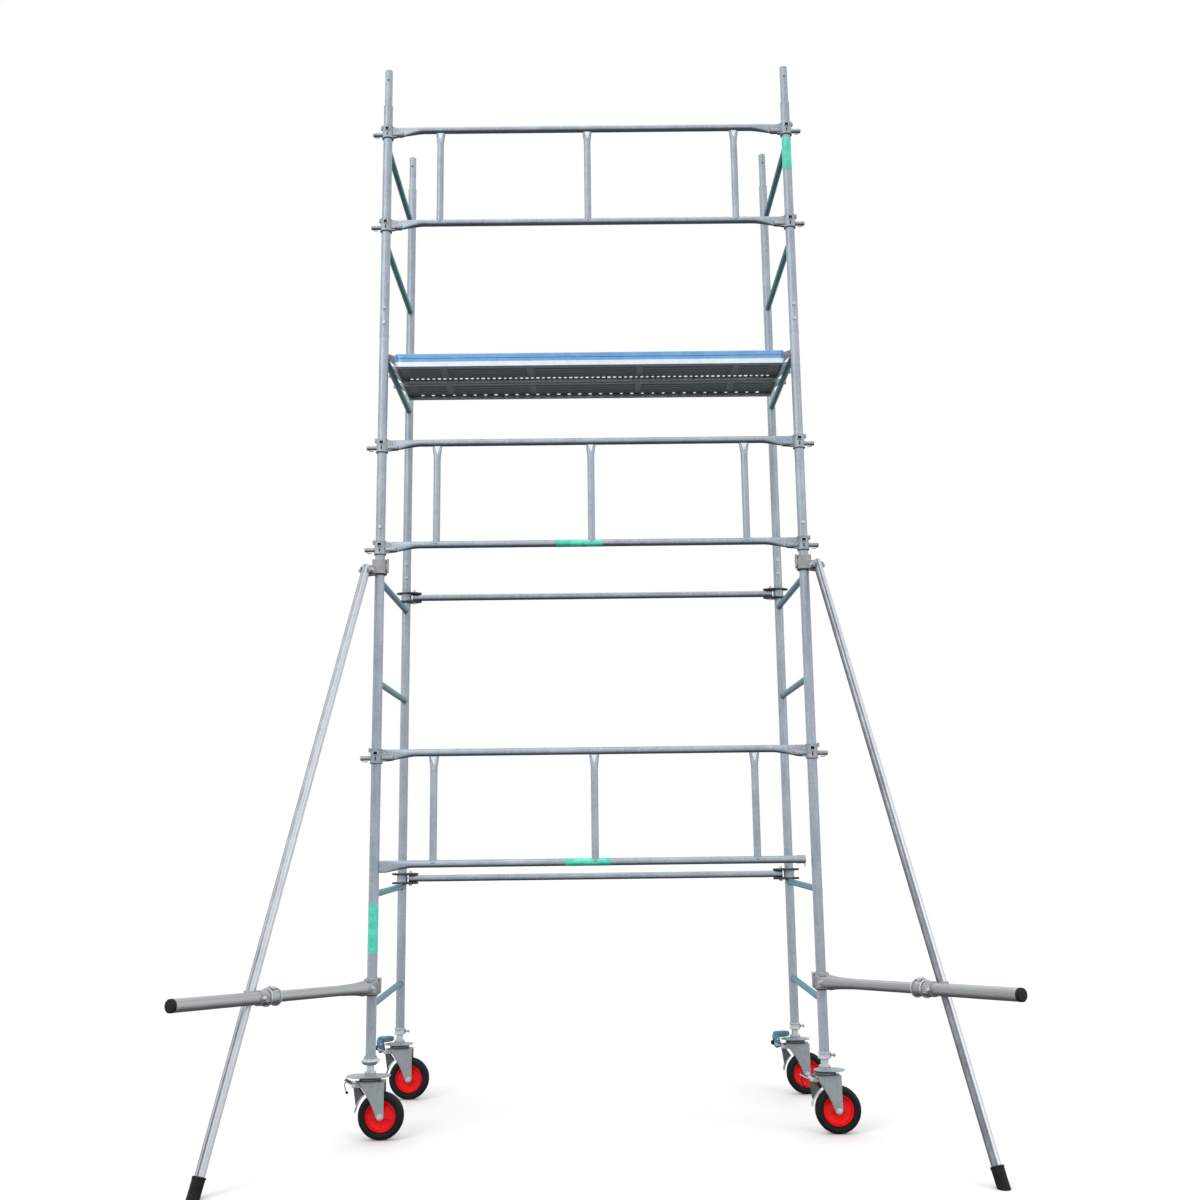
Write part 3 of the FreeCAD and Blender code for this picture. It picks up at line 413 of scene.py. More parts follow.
def turn(bm, matrix, profile, segments=32, finish=0, hollow=False):
    # a profile of (radius, height, squareness) carried round local Z
    rings = []
    for entry in profile:
        radius, height = entry[:2]
        square = entry[2] if len(entry) > 2 else 2.0
        ring = []
        for i in range(segments):
            angle = 2 * math.pi * (i + 0.5) / segments
            c, s = math.cos(angle), math.sin(angle)
            reach = radius / (abs(c) ** square + abs(s) ** square) ** (1 / square)
            ring.append(matrix @ Vector((reach * c, reach * s, height)))
        rings.append(ring)
    skin(bm, rings, finish, caps=not hollow, loop=hollow)


def softRod(bm, matrix, radius, length, edge=0.001, segments=24, finish=0):
    turn(bm, matrix, [(radius - edge, 0), (radius, edge), (radius, length - edge),
                      (radius - edge, length)], segments, finish)


def roundRect(width, depth, radius, steps=3):
    points = []
    for corner, (sx, sy) in enumerate(((1, 1), (-1, 1), (-1, -1), (1, -1))):
        for i in range(steps + 1):
            angle = math.radians(90 * (corner + i / steps))
            points.append((sx * (width / 2 - radius) + radius * math.cos(angle),
                           sy * (depth / 2 - radius) + radius * math.sin(angle)))
    return points


def levels(bm, matrix, outline, steps, finish=0):
    # an outline stacked at (inset, height) steps
    xs, ys = [p[0] for p in outline], [p[1] for p in outline]
    midX, midY = (min(xs) + max(xs)) / 2, (min(ys) + max(ys)) / 2
    width, depth = max(xs) - min(xs), max(ys) - min(ys)
    rings = []
    for inset, height in steps:
        fx, fy = 1 - 2 * inset / width, 1 - 2 * inset / depth
        rings.append([matrix @ Vector((midX + (x - midX) * fx, midY + (y - midY) * fy, height))
                      for x, y in outline])
    skin(bm, rings, finish)


def slab(bm, matrix, outline, thick, edge=0.0008, finish=0):
    # a plate of the outline, centred on local Z, with softened edges
    half = thick / 2
    levels(bm, matrix, outline, [(edge, -half), (0, edge - half), (0, half - edge), (edge, half)], finish)


def hexHead(bm, matrix, across, height, washer=0.0015, finish=0):
    softRod(bm, matrix, across * 0.68, washer, washer * 0.3, 28, finish)
    radius = across / math.sqrt(3)
    turn(bm, matrix, [(radius * 0.95, washer), (radius, washer + height * 0.12), (radius, height * 0.82),
                      (radius * 0.86, height)], 6, finish)


def boltSet(bm, place, axis, across, grip, finish=0):
    # a head on one side, a nut and the thread's end on the other
    axis = Vector(axis).normalized()
    place = Vector(place)
    hexHead(bm, frameAt(place - axis * grip / 2, -axis), across, across * 0.5, finish=finish)
    hexHead(bm, frameAt(place + axis * grip / 2, axis), across, across * 0.62, finish=finish)
    softRod(bm, frameAt(place + axis * grip / 2, axis), across * 0.28, across * 0.95, 0.0008, 16, finish)


def tubeAlong(bm, points, radius, segments=12, finish=0):
    points = [Vector(p) for p in points]
    rings = []
    side = Vector((0, 1, 0))
    for i, point in enumerate(points):
        run = points[min(i + 1, len(points) - 1)] - points[max(i - 1, 0)]
        matrix = frameAt(point, run, side)
        rings.append([matrix @ Vector((radius * math.cos(a), radius * math.sin(a), 0))
                      for a in (2 * math.pi * k / segments for k in range(segments))])
    skin(bm, rings, finish)


def bentStrip(bm, points, width, thick, across=(0, 1, 0), finish=0):
    # a strip of rounded section that follows points in the plane square to across
    points = [Vector(p) for p in points]
    section = roundRect(width, thick, thick * 0.4, 2)
    rings = []
    for i, point in enumerate(points):
        run = points[min(i + 1, len(points) - 1)] - points[max(i - 1, 0)]
        matrix = frameAt(point, run, across)
        rings.append([matrix @ Vector((x, y, 0)) for x, y in section])
    skin(bm, rings, finish)


def weldBead(bm, place, post, branch, postRadius, branchRadius, width=0.0035, finish=0):
    # a lumpy fillet round a branch tube's end on a post's side
    post, branch = Vector(post).normalized(), Vector(branch).normalized()
    cross = post.cross(branch)
    steps = 40
    phase = weldDice.random() * 6
    rings = []
    for i in range(steps):
        t = 2 * math.pi * i / steps
        reach = math.sqrt(max(postRadius ** 2 - (branchRadius * math.cos(t)) ** 2, 0))
        out = cross * math.cos(t) + post * math.sin(t)
        point = Vector(place) + out * branchRadius + branch * reach
        size = width * (1 + 0.16 * math.sin(11 * t + phase) + 0.07 * math.sin(23 * t))
        rings.append([point + (out * math.cos(u) + branch * math.sin(u)) * size
                      for u in (2 * math.pi * k / 8 for k in range(8))])
    skin(bm, rings, finish, loop=True)


def solidsOf(node):
    # boxes of the separate solids in one node
    bm = bmesh.new()
    bm.from_mesh(nodes[node].data)
    bmesh.ops.remove_doubles(bm, verts=bm.verts, dist=1e-5)
    seen, boxes = set(), []
    for start in bm.verts:
        if start in seen:
            continue
        seen.add(start)
        queue, group = [start], []
        while queue:
            vert = queue.pop()
            group.append(vert.co.copy())
            for edge in vert.link_edges:
                other = edge.other_vert(vert)
                if other not in seen:
                    seen.add(other)
                    queue.append(other)
        boxes.append((Vector([min(p[k] for p in group) for k in range(3)]),
                      Vector([max(p[k] for p in group) for k in range(3)])))
    bm.free()
    return sorted(boxes, key=lambda box: (round(box[0].z, 3), round(box[0].x, 3), box[0].y))


def spanAlong(node, origin, axis):
    # nearest and farthest of a node's points along an axis
    axis = Vector(axis).normalized()
    runs = [(v.co - origin).dot(axis) for v in nodes[node].data.vertices]
    return min(runs), max(runs)


def makePiece(name, bm, finishes, body, replaced=(), angle=34):
    bmesh.ops.recalc_face_normals(bm, faces=bm.faces)
    mesh = bpy.data.meshes.new(name)
    bm.to_mesh(mesh)
    bm.free()
    for finish in finishes:
        mesh.materials.append(materials[finish])
    mesh.shade_smooth()
    mesh.set_sharp_from_angle(angle=math.radians(angle))
    piece = bpy.data.objects.new(name, mesh)
    bpy.context.scene.collection.objects.link(piece)
    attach(piece, body)
    if replaced:
        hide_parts(*replaced)
    return piece


def middle(box):
    return (box[0] + box[1]) / 2


weldDice = random.Random(7)
postRadius = 0.0225
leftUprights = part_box("left_lower_uprights")
frontY = leftUprights[0].y + postRadius
rearY = leftUprights[1].y - postRadius
bayX = middle(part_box("right_lower_uprights")).x
print("front uprights at", round(frontY, 4), "rear at", round(rearY, 4), "bay", round(bayX, 4))

# guardrails: round tubes pressed flat towards their ends
railPlan = {"radius": 0.01685, "bladeHalf": 0.027, "bladeThick": 0.0048, "reach": 0.150, "steps": 16,
            "around": 28, "bandStart": 0.045, "tab": (0.016, 0.018, 0.003), "tabThick": 0.004,
            "tabDrop": 0.023,
            "band": [(0.0172, 0), (0.0186, 0.004), (0.0186, 0.040), (0.0172, 0.0445)]}


def railTube(bm, height, ends):
    # stations along X with the section's half height, half thickness and drop
    plan = railPlan
    stations = []
    for sign, (end, flat) in zip((-1, 1), ends):
        run = []
        for i in range(plan["steps"] + 1):
            share = i / plan["steps"]
            grow = min(1.0, share * 1.25) ** 1.3 if flat else 0.0
            flatten = min(1.0, share * 1.35) ** 1.5 if flat else 0.0
            half = plan["radius"] + (plan["bladeHalf"] - plan["radius"]) * grow
            thick = plan["radius"] + (plan["bladeThick"] - plan["radius"]) * flatten
            x = sign * (end - plan["reach"] * (1 - share))
            run.append((x, half, thick, half - plan["radius"]))
        stations.append(run)
    left, right = stations
    rings = []
    for x, half, thick, drop in left[::-1] + right:
        square = 2 + 1.2 * (half - plan["radius"]) / (plan["bladeHalf"] - plan["radius"])
        ring = []
        for i in range(plan["around"]):
            angle = 2 * math.pi * i / plan["around"]
            c, s = math.cos(angle), math.sin(angle)
            reach = 1 / (abs(c) ** square + abs(s) ** square) ** (1 / square)
            ring.append((x, frontY + thick * reach * c, height - drop + half * reach * s))
        rings.append(ring)
    skin(bm, rings, 0)


def makeGuardrails():
    for level in ("lower", "middle", "top"):
        bm = bmesh.new()
        for low, high in solidsOf(f"{level}_guardrail"):
            height = high.z - railPlan["radius"]
            flatRight = high.x > bayX - 0.04
            railTube(bm, height, ((-low.x, True), (high.x, flatRight)))
            if not flatRight:
                # cut end with its hanging tab and a pressed band
                turn(bm, frameAt((high.x - railPlan["bandStart"], frontY, height), (1, 0, 0)),
                     railPlan["band"], railPlan["around"])
                spot = (high.x - railPlan["tabThick"], frontY, height - railPlan["tabDrop"])
                slab(bm, frameAt(spot, (1, 0, 0)), roundRect(*railPlan["tab"]), railPlan["tabThick"])
        makePiece(f"{level}GuardrailTubes", bm, ["galvanised_tube"], "tower", [f"{level}_guardrail"])


postPlan = {"radius": 0.01685, "mouth": 0.0232, "mouthDepth": 0.0100, "flare": 0.070, "dimple": 0.0080,
            "steps": 16, "around": 32, "footLift": 0.004, "weld": (0.012, 0.0170, 0.0026), "wedgeOut": 0.0066,
            "wedge": [(-0.0135, 0.0), (0.0135, 0.0), (0.0125, -0.007), (0.0015, -0.036), (-0.0015, -0.036),
                      (-0.0125, -0.007)]}


def makePosts():
    # tube posts whose upper ends are pressed flat and dimpled under the rail
    bm = bmesh.new()
    plan = postPlan
    for low, high in solidsOf("guardrail_posts"):
        x = (low.x + high.x) / 2
        foot, head = low.z + plan["footLift"], high.z
        steps = plan["steps"]
        rings = []
        for z, share in [(foot, 0.0)] + [(head - plan["flare"] * (1 - k / steps), k / steps)
                                         for k in range(steps + 1)]:
            ease = share * share * (3 - 2 * share)
            wide = plan["radius"] + (plan["mouth"] - plan["radius"]) * ease
            deep = plan["radius"] + (plan["mouthDepth"] - plan["radius"]) * ease
            ring = []
            for i in range(plan["around"]):
                angle = 2 * math.pi * i / plan["around"]
                across = math.cos(angle)
                press = 0.0
                if math.sin(angle) != 0:
                    press = plan["dimple"] * ease * max(0, 1 - (abs(across) / (0.15 + 0.75 * share)) ** 2)
                depth = max(deep * abs(math.sin(angle)) - press, 0.0014 * abs(math.sin(angle)))
                ring.append((x + wide * across, frontY + math.copysign(depth, math.sin(angle)), z))
            rings.append(ring)
        skin(bm, rings, 0)
        # bright pressed wedge in the middle of each flat side
        for way in (-1, 1):
            place = frameAt((x, frontY + way * plan["wedgeOut"], head - 0.005), (0, way, 0.06), (-way, 0, 0))
            slab(bm, place, plan["wedge"], 0.0040, 0.0012, 2)
        weldBead(bm, (x, frontY, foot), (1, 0, 0), (0, 0, 1), *plan["weld"], 1)
    makePiece("guardrailPosts", bm, ["galvanised_tube", "pressed_steel", "plank_lip"], "tower",
              ["guardrail_posts"])


# pressed pockets: swaged collar, two cheeks, a square window with a rim, a tab
pocketPlan = {"bore": 0.0228, "radius": 0.0272, "lip": 0.0292, "cheek": 0.030, "window": 0.0240,
              "hole": 0.0165,
              "footRing": [(0.0228, 0), (0.0274, 0.0006), (0.0280, 0.0040), (0.0228, 0.0040)],
              "keeper": [(0.0114, 0), (0.0132, 0), (0.0138, 0.002), (0.0138, 0.046), (0.0128, 0.050),
                         (0.0122, 0.050), (0.0114, 0.048)]}


def window(bm, matrix, outer, inner, proud, deep, rim, hole):
    # a raised square rim round a square hole with a dark floor
    shapes = [(outer, -0.004), (outer, proud * 0.6), (outer * 0.92, proud), (inner * 1.12, proud),
              (inner, proud * 0.6), (inner, -deep)]
    rings = [[matrix @ Vector((x, y, z)) for x, y in roundRect(size, size * 0.82, size * 0.14)]
             for size, z in shapes]
    skin(bm, rings, rim, caps=False)
    floor = [bm.verts.new(p) for p in rings[-1]]
    bm.faces.new(floor).material_index = hole
    bmesh.ops.remove_doubles(bm, verts=bm.verts, dist=1e-6)


def makePockets():
    bm = bmesh.new()
    plan = pocketPlan
    pinHeights = {sides[side]: [middle(box).z for box in solidsOf(f"{side}_lock_pins")] for side in sides}
    for low, high in solidsOf("rail_pockets"):
        sign = 1 if low.x > 0 else -1
        x, z = sign * bayX, (low.z + high.z) / 2
        half = (high.z - low.z) / 2
        base = frameAt((x, frontY, z), (0, 0, 1))
        turn(bm, base, [(plan["bore"], -half), (plan["lip"], -half), (plan["lip"] + 0.0004, -half + 0.003),
                        (plan["radius"], -half + 0.008), (plan["radius"], half - 0.010),
                        (plan["lip"], half - 0.005), (plan["lip"], half - 0.001), (plan["bore"], half)],
             40, 0, hollow=True)
        # cheeks reach inwards on both sides of the flat rail end
        reach, tall = plan["cheek"], half - 0.002
        for face in (-1, 1):
            place = frameAt((x - sign * 0.020, frontY + face * 0.0072, z), (0, face, 0), (-sign, 0, 0))
            flip = 1 if face * sign < 0 else -1
            top, low2 = (tall - 0.006) * flip, (tall - 0.002) * flip
            slab(bm, place, [(0, -low2), (reach * 0.75, -low2 + 0.002 * flip), (reach, -low2 + 0.014 * flip),
                             (reach, top - 0.012 * flip), (reach * 0.75, top), (0, top)], 0.0034)
            softRod(bm, frameAt((x - sign * (0.020 + reach * 0.62), frontY + face * 0.0088, z + 0.010),
                                (0, face, 0)), 0.0042, 0.0026, 0.0012, 16, 1)
        # window on the front face, a dark ring painted as the shadow under the foot, then the lock pin's sleeve
        # and plug
        window(bm, frameAt((x, frontY - plan["radius"] + 0.0016, z + 0.012), (0, -1, 0)),
               plan["window"], plan["hole"], 0.0062, -0.0024, 1, 3)
        turn(bm, frameAt((x, frontY, z - half - 0.0032), (0, 0, 1)), plan["footRing"], 40, 2, hollow=True)
        pinZ = min(pinHeights[sign], key=lambda level: abs(level - z))
        turn(bm, frameAt((x - sign * 0.0275, frontY, pinZ), (-sign, 0, 0)), plan["keeper"], 28, 0,
             hollow=True)
        softRod(bm, frameAt((x - sign * 0.0745, frontY, pinZ), (-sign, 0, 0)), 0.0118, 0.0040, 0.0012, 24, 2)
        # slot under the window, and a small tab at the outer top
        slab(bm, frameAt((x, frontY - plan["radius"] - 0.0002, z - 0.014), (0, -1, 0)),
             roundRect(0.007, 0.018, 0.003), 0.0016, 0.0006, 2)
        slab(bm, frameAt((x + sign * (plan["lip"] + 0.0015), frontY, z + half - 0.006), (0, -1, 0)),
             roundRect(0.010, 0.020, 0.0025), 0.014, 0.001, 0)
    makePiece("railPockets", bm, ["pressed_steel", "zinc_fasteners", "dark_clamp", "socket_dark"], "tower",
              ["rail_pockets"])


# the catch's points are (back from the free end, down from the pin's underside)
pinPlan = {"radius": 0.0108, "edge": 0.0022, "catchWire": 0.0017,
           "catch": ((0.012, -0.001), (0.012, 0.004), (0.020, 0.0062), (0.034, 0.0045))}


def makeLockPins():
    for side, sign in sides.items():
        bm = bmesh.new()
        for low, high in solidsOf(f"{side}_lock_pins"):
            outer = high.x if sign > 0 else low.x
            length = high.x - low.x
            z = (low.z + high.z) / 2
            radius, edge = pinPlan["radius"], pinPlan["edge"]
            turn(bm, frameAt((outer, frontY, z), (-sign, 0, 0)),
                 [(radius * 0.58, 0.0035), (radius * 0.62, 0.0006), (radius - edge, 0), (radius, edge),
                  (radius, 0.030), (radius - 0.0009, 0.0312), (radius - 0.0009, 0.0338), (radius, 0.035),
                  (radius, length - edge), (radius - edge, length)], 28, 0)
            softRod(bm, frameAt((outer - sign * 0.0045, frontY, z), (sign, 0, 0)), radius * 0.56, 0.0022,
                    0.0006, 20, 1)
            # spring catch under the free end
            catch = [(outer - sign * back, frontY, z - radius - drop) for back, drop in pinPlan["catch"]]
            tubeAlong(bm, catch, pinPlan["catchWire"], 8, 1)
        makePiece(f"{side}LockPins", bm, ["pressed_steel", "socket_dark"], f"{side}_lock_pins",
                  [f"{side}_lock_pins"])


def makeWelds():
    bm = bmesh.new()
    for node in ("lower_rungs", "platform_rungs", "top_rungs"):
        for low, high in solidsOf(node):
            x, z = (low.x + high.x) / 2, (low.z + high.z) / 2
            for y, way in ((frontY, 1), (rearY, -1)):
                weldBead(bm, (x, y, z), (0, 0, 1), (0, way, 0), postRadius, 0.0150, 0.0030)
    makePiece("rungWelds", bm, ["pressed_steel"], "tower")


# swaged rings where one frame stands on the next, and the mouth of each upright's head
ringPlan = {"apart": 0.0008, "mouthDepth": 0.012,
            "joint": [(0.02255, 0), (0.0232, 0.0004), (0.0233, 0.0030), (0.0229, 0.0060), (0.02255, 0.0060)],
            "mouth": [(0.02255, 0), (0.0230, 0.002), (0.0233, 0.006), (0.0233, 0.0112), (0.0226, 0.0122),
                      (0.0202, 0.0122), (0.0202, 0.010), (0.02255, 0.008)]}


def makeFrameRings():
    bm = bmesh.new()
    for side in sides:
        x = bayX * sides[side]
        heights = [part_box(f"{side}_{level}_uprights")[0].z for level in ("middle", "top")]
        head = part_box(f"{side}_top_uprights")[1].z
        for y in (frontY, rearY):
            for z in heights:
                for way in (-1, 1):
                    turn(bm, frameAt((x, y, z + way * ringPlan["apart"]), (0, 0, way)), ringPlan["joint"],
                         36, 0, hollow=True)
            turn(bm, frameAt((x, y, head - ringPlan["mouthDepth"]), (0, 0, 1)), ringPlan["mouth"], 36, 0,
                 hollow=True)
    makePiece("frameRings", bm, ["pressed_steel"], "tower")


# planks: one folded sheet with pressed holes, a banded front face and rolled lips
plankPlan = {"sheet": 0.0018, "lip": 0.018, "band": 0.024, "step": 0.0030, "holeRadius": 0.0068,
             "cell": 0.026, "pitch": 0.0275, "rows": 5, "rowInset": 0.012, "dimple": 0.0026,
             "ribHeight": 0.0022, "rivets": (-0.105, -0.05, 0.05, 0.105)}


def plankProfile(width, depth, plan):
    # (across, up, finish, holed) from the front lip's inner edge round to the rear lip's
    half, t = width / 2 - plan["sheet"] / 2, plan["sheet"]
    points = [(-half + plan["lip"], 0.006, 2, False), (-half + plan["lip"], 0, 2, False),
              (-half + 0.003, 0, 2, False), (-half, 0.003, 2, False), (-half, plan["band"], 2, False),
              (-half + plan["step"], plan["band"] + 0.003, 1, False),
              (-half + plan["step"], depth * 0.62, 1, False), (-half + 0.0012, depth * 0.66, 1, False),
              (-half + 0.0012, depth - 0.006, 1, False), (-half + 0.005, depth - t, 0, False)]
    inner = half - plan["rowInset"]
    rows = plan["rows"]
    gap = (2 * inner - rows * plan["cell"]) / (rows - 1)
    for row in range(rows):
        start = -inner + row * (plan["cell"] + gap)
        points.append((start, depth - t, 0, True))
        end = start + plan["cell"]
        if row < rows - 1:
            points += [(end, depth - t, 0, False), (end + gap * 0.3, depth - t - plan["ribHeight"], 0, False),
                       (end + gap * 0.7, depth - t - plan["ribHeight"], 0, False)]
        else:
            points.append((end, depth - t, 0, False))
    points += [(half - 0.005, depth - t, 0, False), (half, depth - 0.006, 0, False), (half, 0.003, 0, False),
               (half - 0.003, 0, 0, False), (half - plan["lip"], 0, 0, False),
               (half - plan["lip"], 0.006, 0, False)]
    return points


def holedCell(bm, corners, radius, dimple, finish):
    # a square cell with a pressed round hole through it
    centre = sum((c.co for c in corners), Vector()) / 4
    around = 12
    start = math.atan2(corners[0].co.y - centre.y, corners[0].co.x - centre.x)
    way = 1 if (corners[1].co - centre).cross(corners[2].co - centre).z > 0 else -1
    rings = []
    for size, drop in ((radius * 1.35, 0.0), (radius * 1.08, dimple * 0.7), (radius, dimple)):
        rings.append([bm.verts.new((centre.x + size * math.cos(start + way * 2 * math.pi * k / around),
                                    centre.y + size * math.sin(start + way * 2 * math.pi * k / around),
                                    centre.z - drop)) for k in range(around)])
    for side in range(4):
        arc = [rings[0][(side * 3 + k) % around] for k in range(4)]
        bm.faces.new([corners[side]] + arc + [corners[(side + 1) % 4]]).material_index = finish
    for outer, inner in zip(rings, rings[1:]):
        for k in range(around):
            j = (k + 1) % around
            bm.faces.new((outer[k], outer[j], inner[j], inner[k])).material_index = finish


panPlan = {"lift": 0.019, "rowInset": 0.032, "hole": 0.0085, "rim": 0.0042, "ribs": 5,
           "crossBands": (0.12, 0.345, 0.63, 0.88)}


def panPlank(bm, low, high, pitch):
    # closing pan below the deck in a darker painted-shade finish, its last row of holes flanged, their lips
    # glowing as painted daylight
    plan = panPlan
    z = low.z + plan["lift"]
    y0, y1 = low.y + 0.0035, high.y - 0.0035
    slab(bm, frameAt(((low.x + high.x) / 2, (y0 + y1) / 2, z + 0.0012), (0, 0, 1)),
         roundRect(high.x - low.x - 0.008, y1 - y0, 0.002), 0.0018, 0.0006, 2)
    row = high.y - plan["rowInset"]
    count = int((high.x - low.x - 0.10) / pitch)
    for i in range(count + 1):
        x = (low.x + high.x) / 2 + (i - count / 2) * pitch
        hole = plan["hole"] * (0.84 + 0.32 * weldDice.random())
        spot = frameAt((x, row, z + 0.0006), (0, 0, -1))
        turn(bm, spot, [(hole + 0.0046, 0), (hole + 0.0040, 0.0014), (hole + 0.0014, plan["rim"]),
                        (hole, plan["rim"])], 18, 2)
        turn(bm, spot, [(hole, plan["rim"] - 0.0022), (hole, plan["rim"] + 0.0004),
                        (hole * 0.8, plan["rim"] + 0.0007)], 18, 3)
    for k in range(plan["ribs"]):
        y = y0 + (row - 0.030 - y0) * (k + 0.6) / plan["ribs"]
        slab(bm, frameAt(((low.x + high.x) / 2, y, z - 0.0008), (0, 0, 1)),
             roundRect(high.x - low.x - 0.12, 0.010, 0.0045), 0.0028, 0.0012, 2)
    for share in plan["crossBands"]:
        x = low.x + (high.x - low.x) * share
        slab(bm, frameAt((x, (y0 + row - 0.014) / 2, z - 0.0030), (0, 0, 1)),
             roundRect(0.034, row - y0 - 0.018, 0.003), 0.0036, 0.0014, 2)


def makePlank(name, node, everyOther, pitch):
    plan = plankPlan
    low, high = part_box(node)
    length, width, depth = high - low
    bm = bmesh.new()
    profile = plankProfile(width, depth, plan)
    cells = int(length / plan["pitch"])
    grid = []
    for i in range(cells + 1):
        x = low.x + plan["sheet"] + (length - 2 * plan["sheet"]) * i / cells
        grid.append([bm.verts.new((x, (low.y + high.y) / 2 + across, low.z + up + plan["sheet"] / 2))
                     for across, up, _, _ in profile])
    for i in range(cells):
        for j, (_, _, finish, holed) in enumerate(profile[:-1]):
            quad = [grid[i][j], grid[i + 1][j], grid[i + 1][j + 1], grid[i][j + 1]]
            edgeCell = i < 2 or i > cells - 3
            if holed and not edgeCell and not (everyOther and i % 2):
                holedCell(bm, quad, plan["holeRadius"], plan["dimple"], finish)
            else:
                bm.faces.new(quad).material_index = finish
    piece = makePiece(name, bm, ["galvanised_sheet", "plank_face", "plank_lip"], "tower", [node], 30)
    wall = piece.modifiers.new("sheet", "SOLIDIFY")
    wall.thickness = plan["sheet"]
    wall.offset = 0
    # end plates and rivets, then the closing pan
    bm = bmesh.new()
    y, z = (low.y + high.y) / 2, (low.z + high.z) / 2
    for sign, x in ((-1, low.x), (1, high.x)):
        slab(bm, frameAt((x - sign * 0.0012, y, z), (sign, 0, 0), (0, 1, 0)),
             roundRect(width - 0.006, depth - 0.008, 0.006), 0.0022)
        for offset in plan["rivets"]:
            softRod(bm, frameAt((x - sign * 0.0006, y + offset, z + 0.018), (sign, 0, 0)), 0.0048, 0.0024,
                    0.0012, 16, 1)
    panPlank(bm, low, high, pitch)
    makePiece(name + "Ends", bm, ["galvanised_sheet", "zinc_fasteners", "plank_under_shaded", "hole_light"], "tower")


# castors, drawn round the stem axis and the wheel axis that the frame gives
plateShapes = {"front_left": (0.198, 0.118, -0.008), "front_right": (0.140, 0.110, 0.020),
               "rear_left": (0.148, 0.112, -0.002), "rear_right": (0.150, 0.112, 0.0)}
castorPlan = {"housing": 0.0095, "plate": 0.008, "race": 0.016, "crown": 0.005, "cheekThick": 0.004,
              "cheekGap": 0.006, "nose": -0.047, "tail": 0.016, "endRadius": 0.016, "rib": 0.017,
              "bolt": 0.019,
              "neck": [(0.036, 0), (0.030, 0.0025), (0.026, 0.004), (0.0255, 0.0095), (0.023, 0.0105),
                       (0.0185, 0.0105)],
              "lens": [(0.030, -0.0030), (0.012, 0.0002), (0.002, 0.0026), (0.0, 0.0040), (0.002, 0.0052),
                       (0.014, 0.0070), (0.034, 0.0084)],
              "balls": [(0.040, 0), (0.0475, 0.002), (0.048, 0.006), (0.0455, 0.0075), (0.0455, 0.0095),
                        (0.048, 0.011), (0.047, 0.0145), (0.040, 0.016)],
              "ring": [(0.0450, 0), (0.0468, 0.0002), (0.0468, 0.0014), (0.0450, 0.0016)]}


def castorPlaces(corner):
    leg, tyre, fork = (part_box(f"{corner}_{part}") for part in ("leg", "tyre", "fork"))
    stem = middle(leg)
    return stem.x, stem.y, middle(tyre), (tyre[1].z - tyre[0].z) / 2, tyre[1].y - tyre[0].y, fork[1].z


def ovalOutline(length, width, shift, steps=12):
    points = []
    half = (length - width) / 2
    for way, start in ((1, -90), (-1, 90)):
        for i in range(steps + 1):
            angle = math.radians(start + 180 * i / steps)
            points.append((shift + way * half + width / 2 * math.cos(angle), width / 2 * math.sin(angle)))
    return points


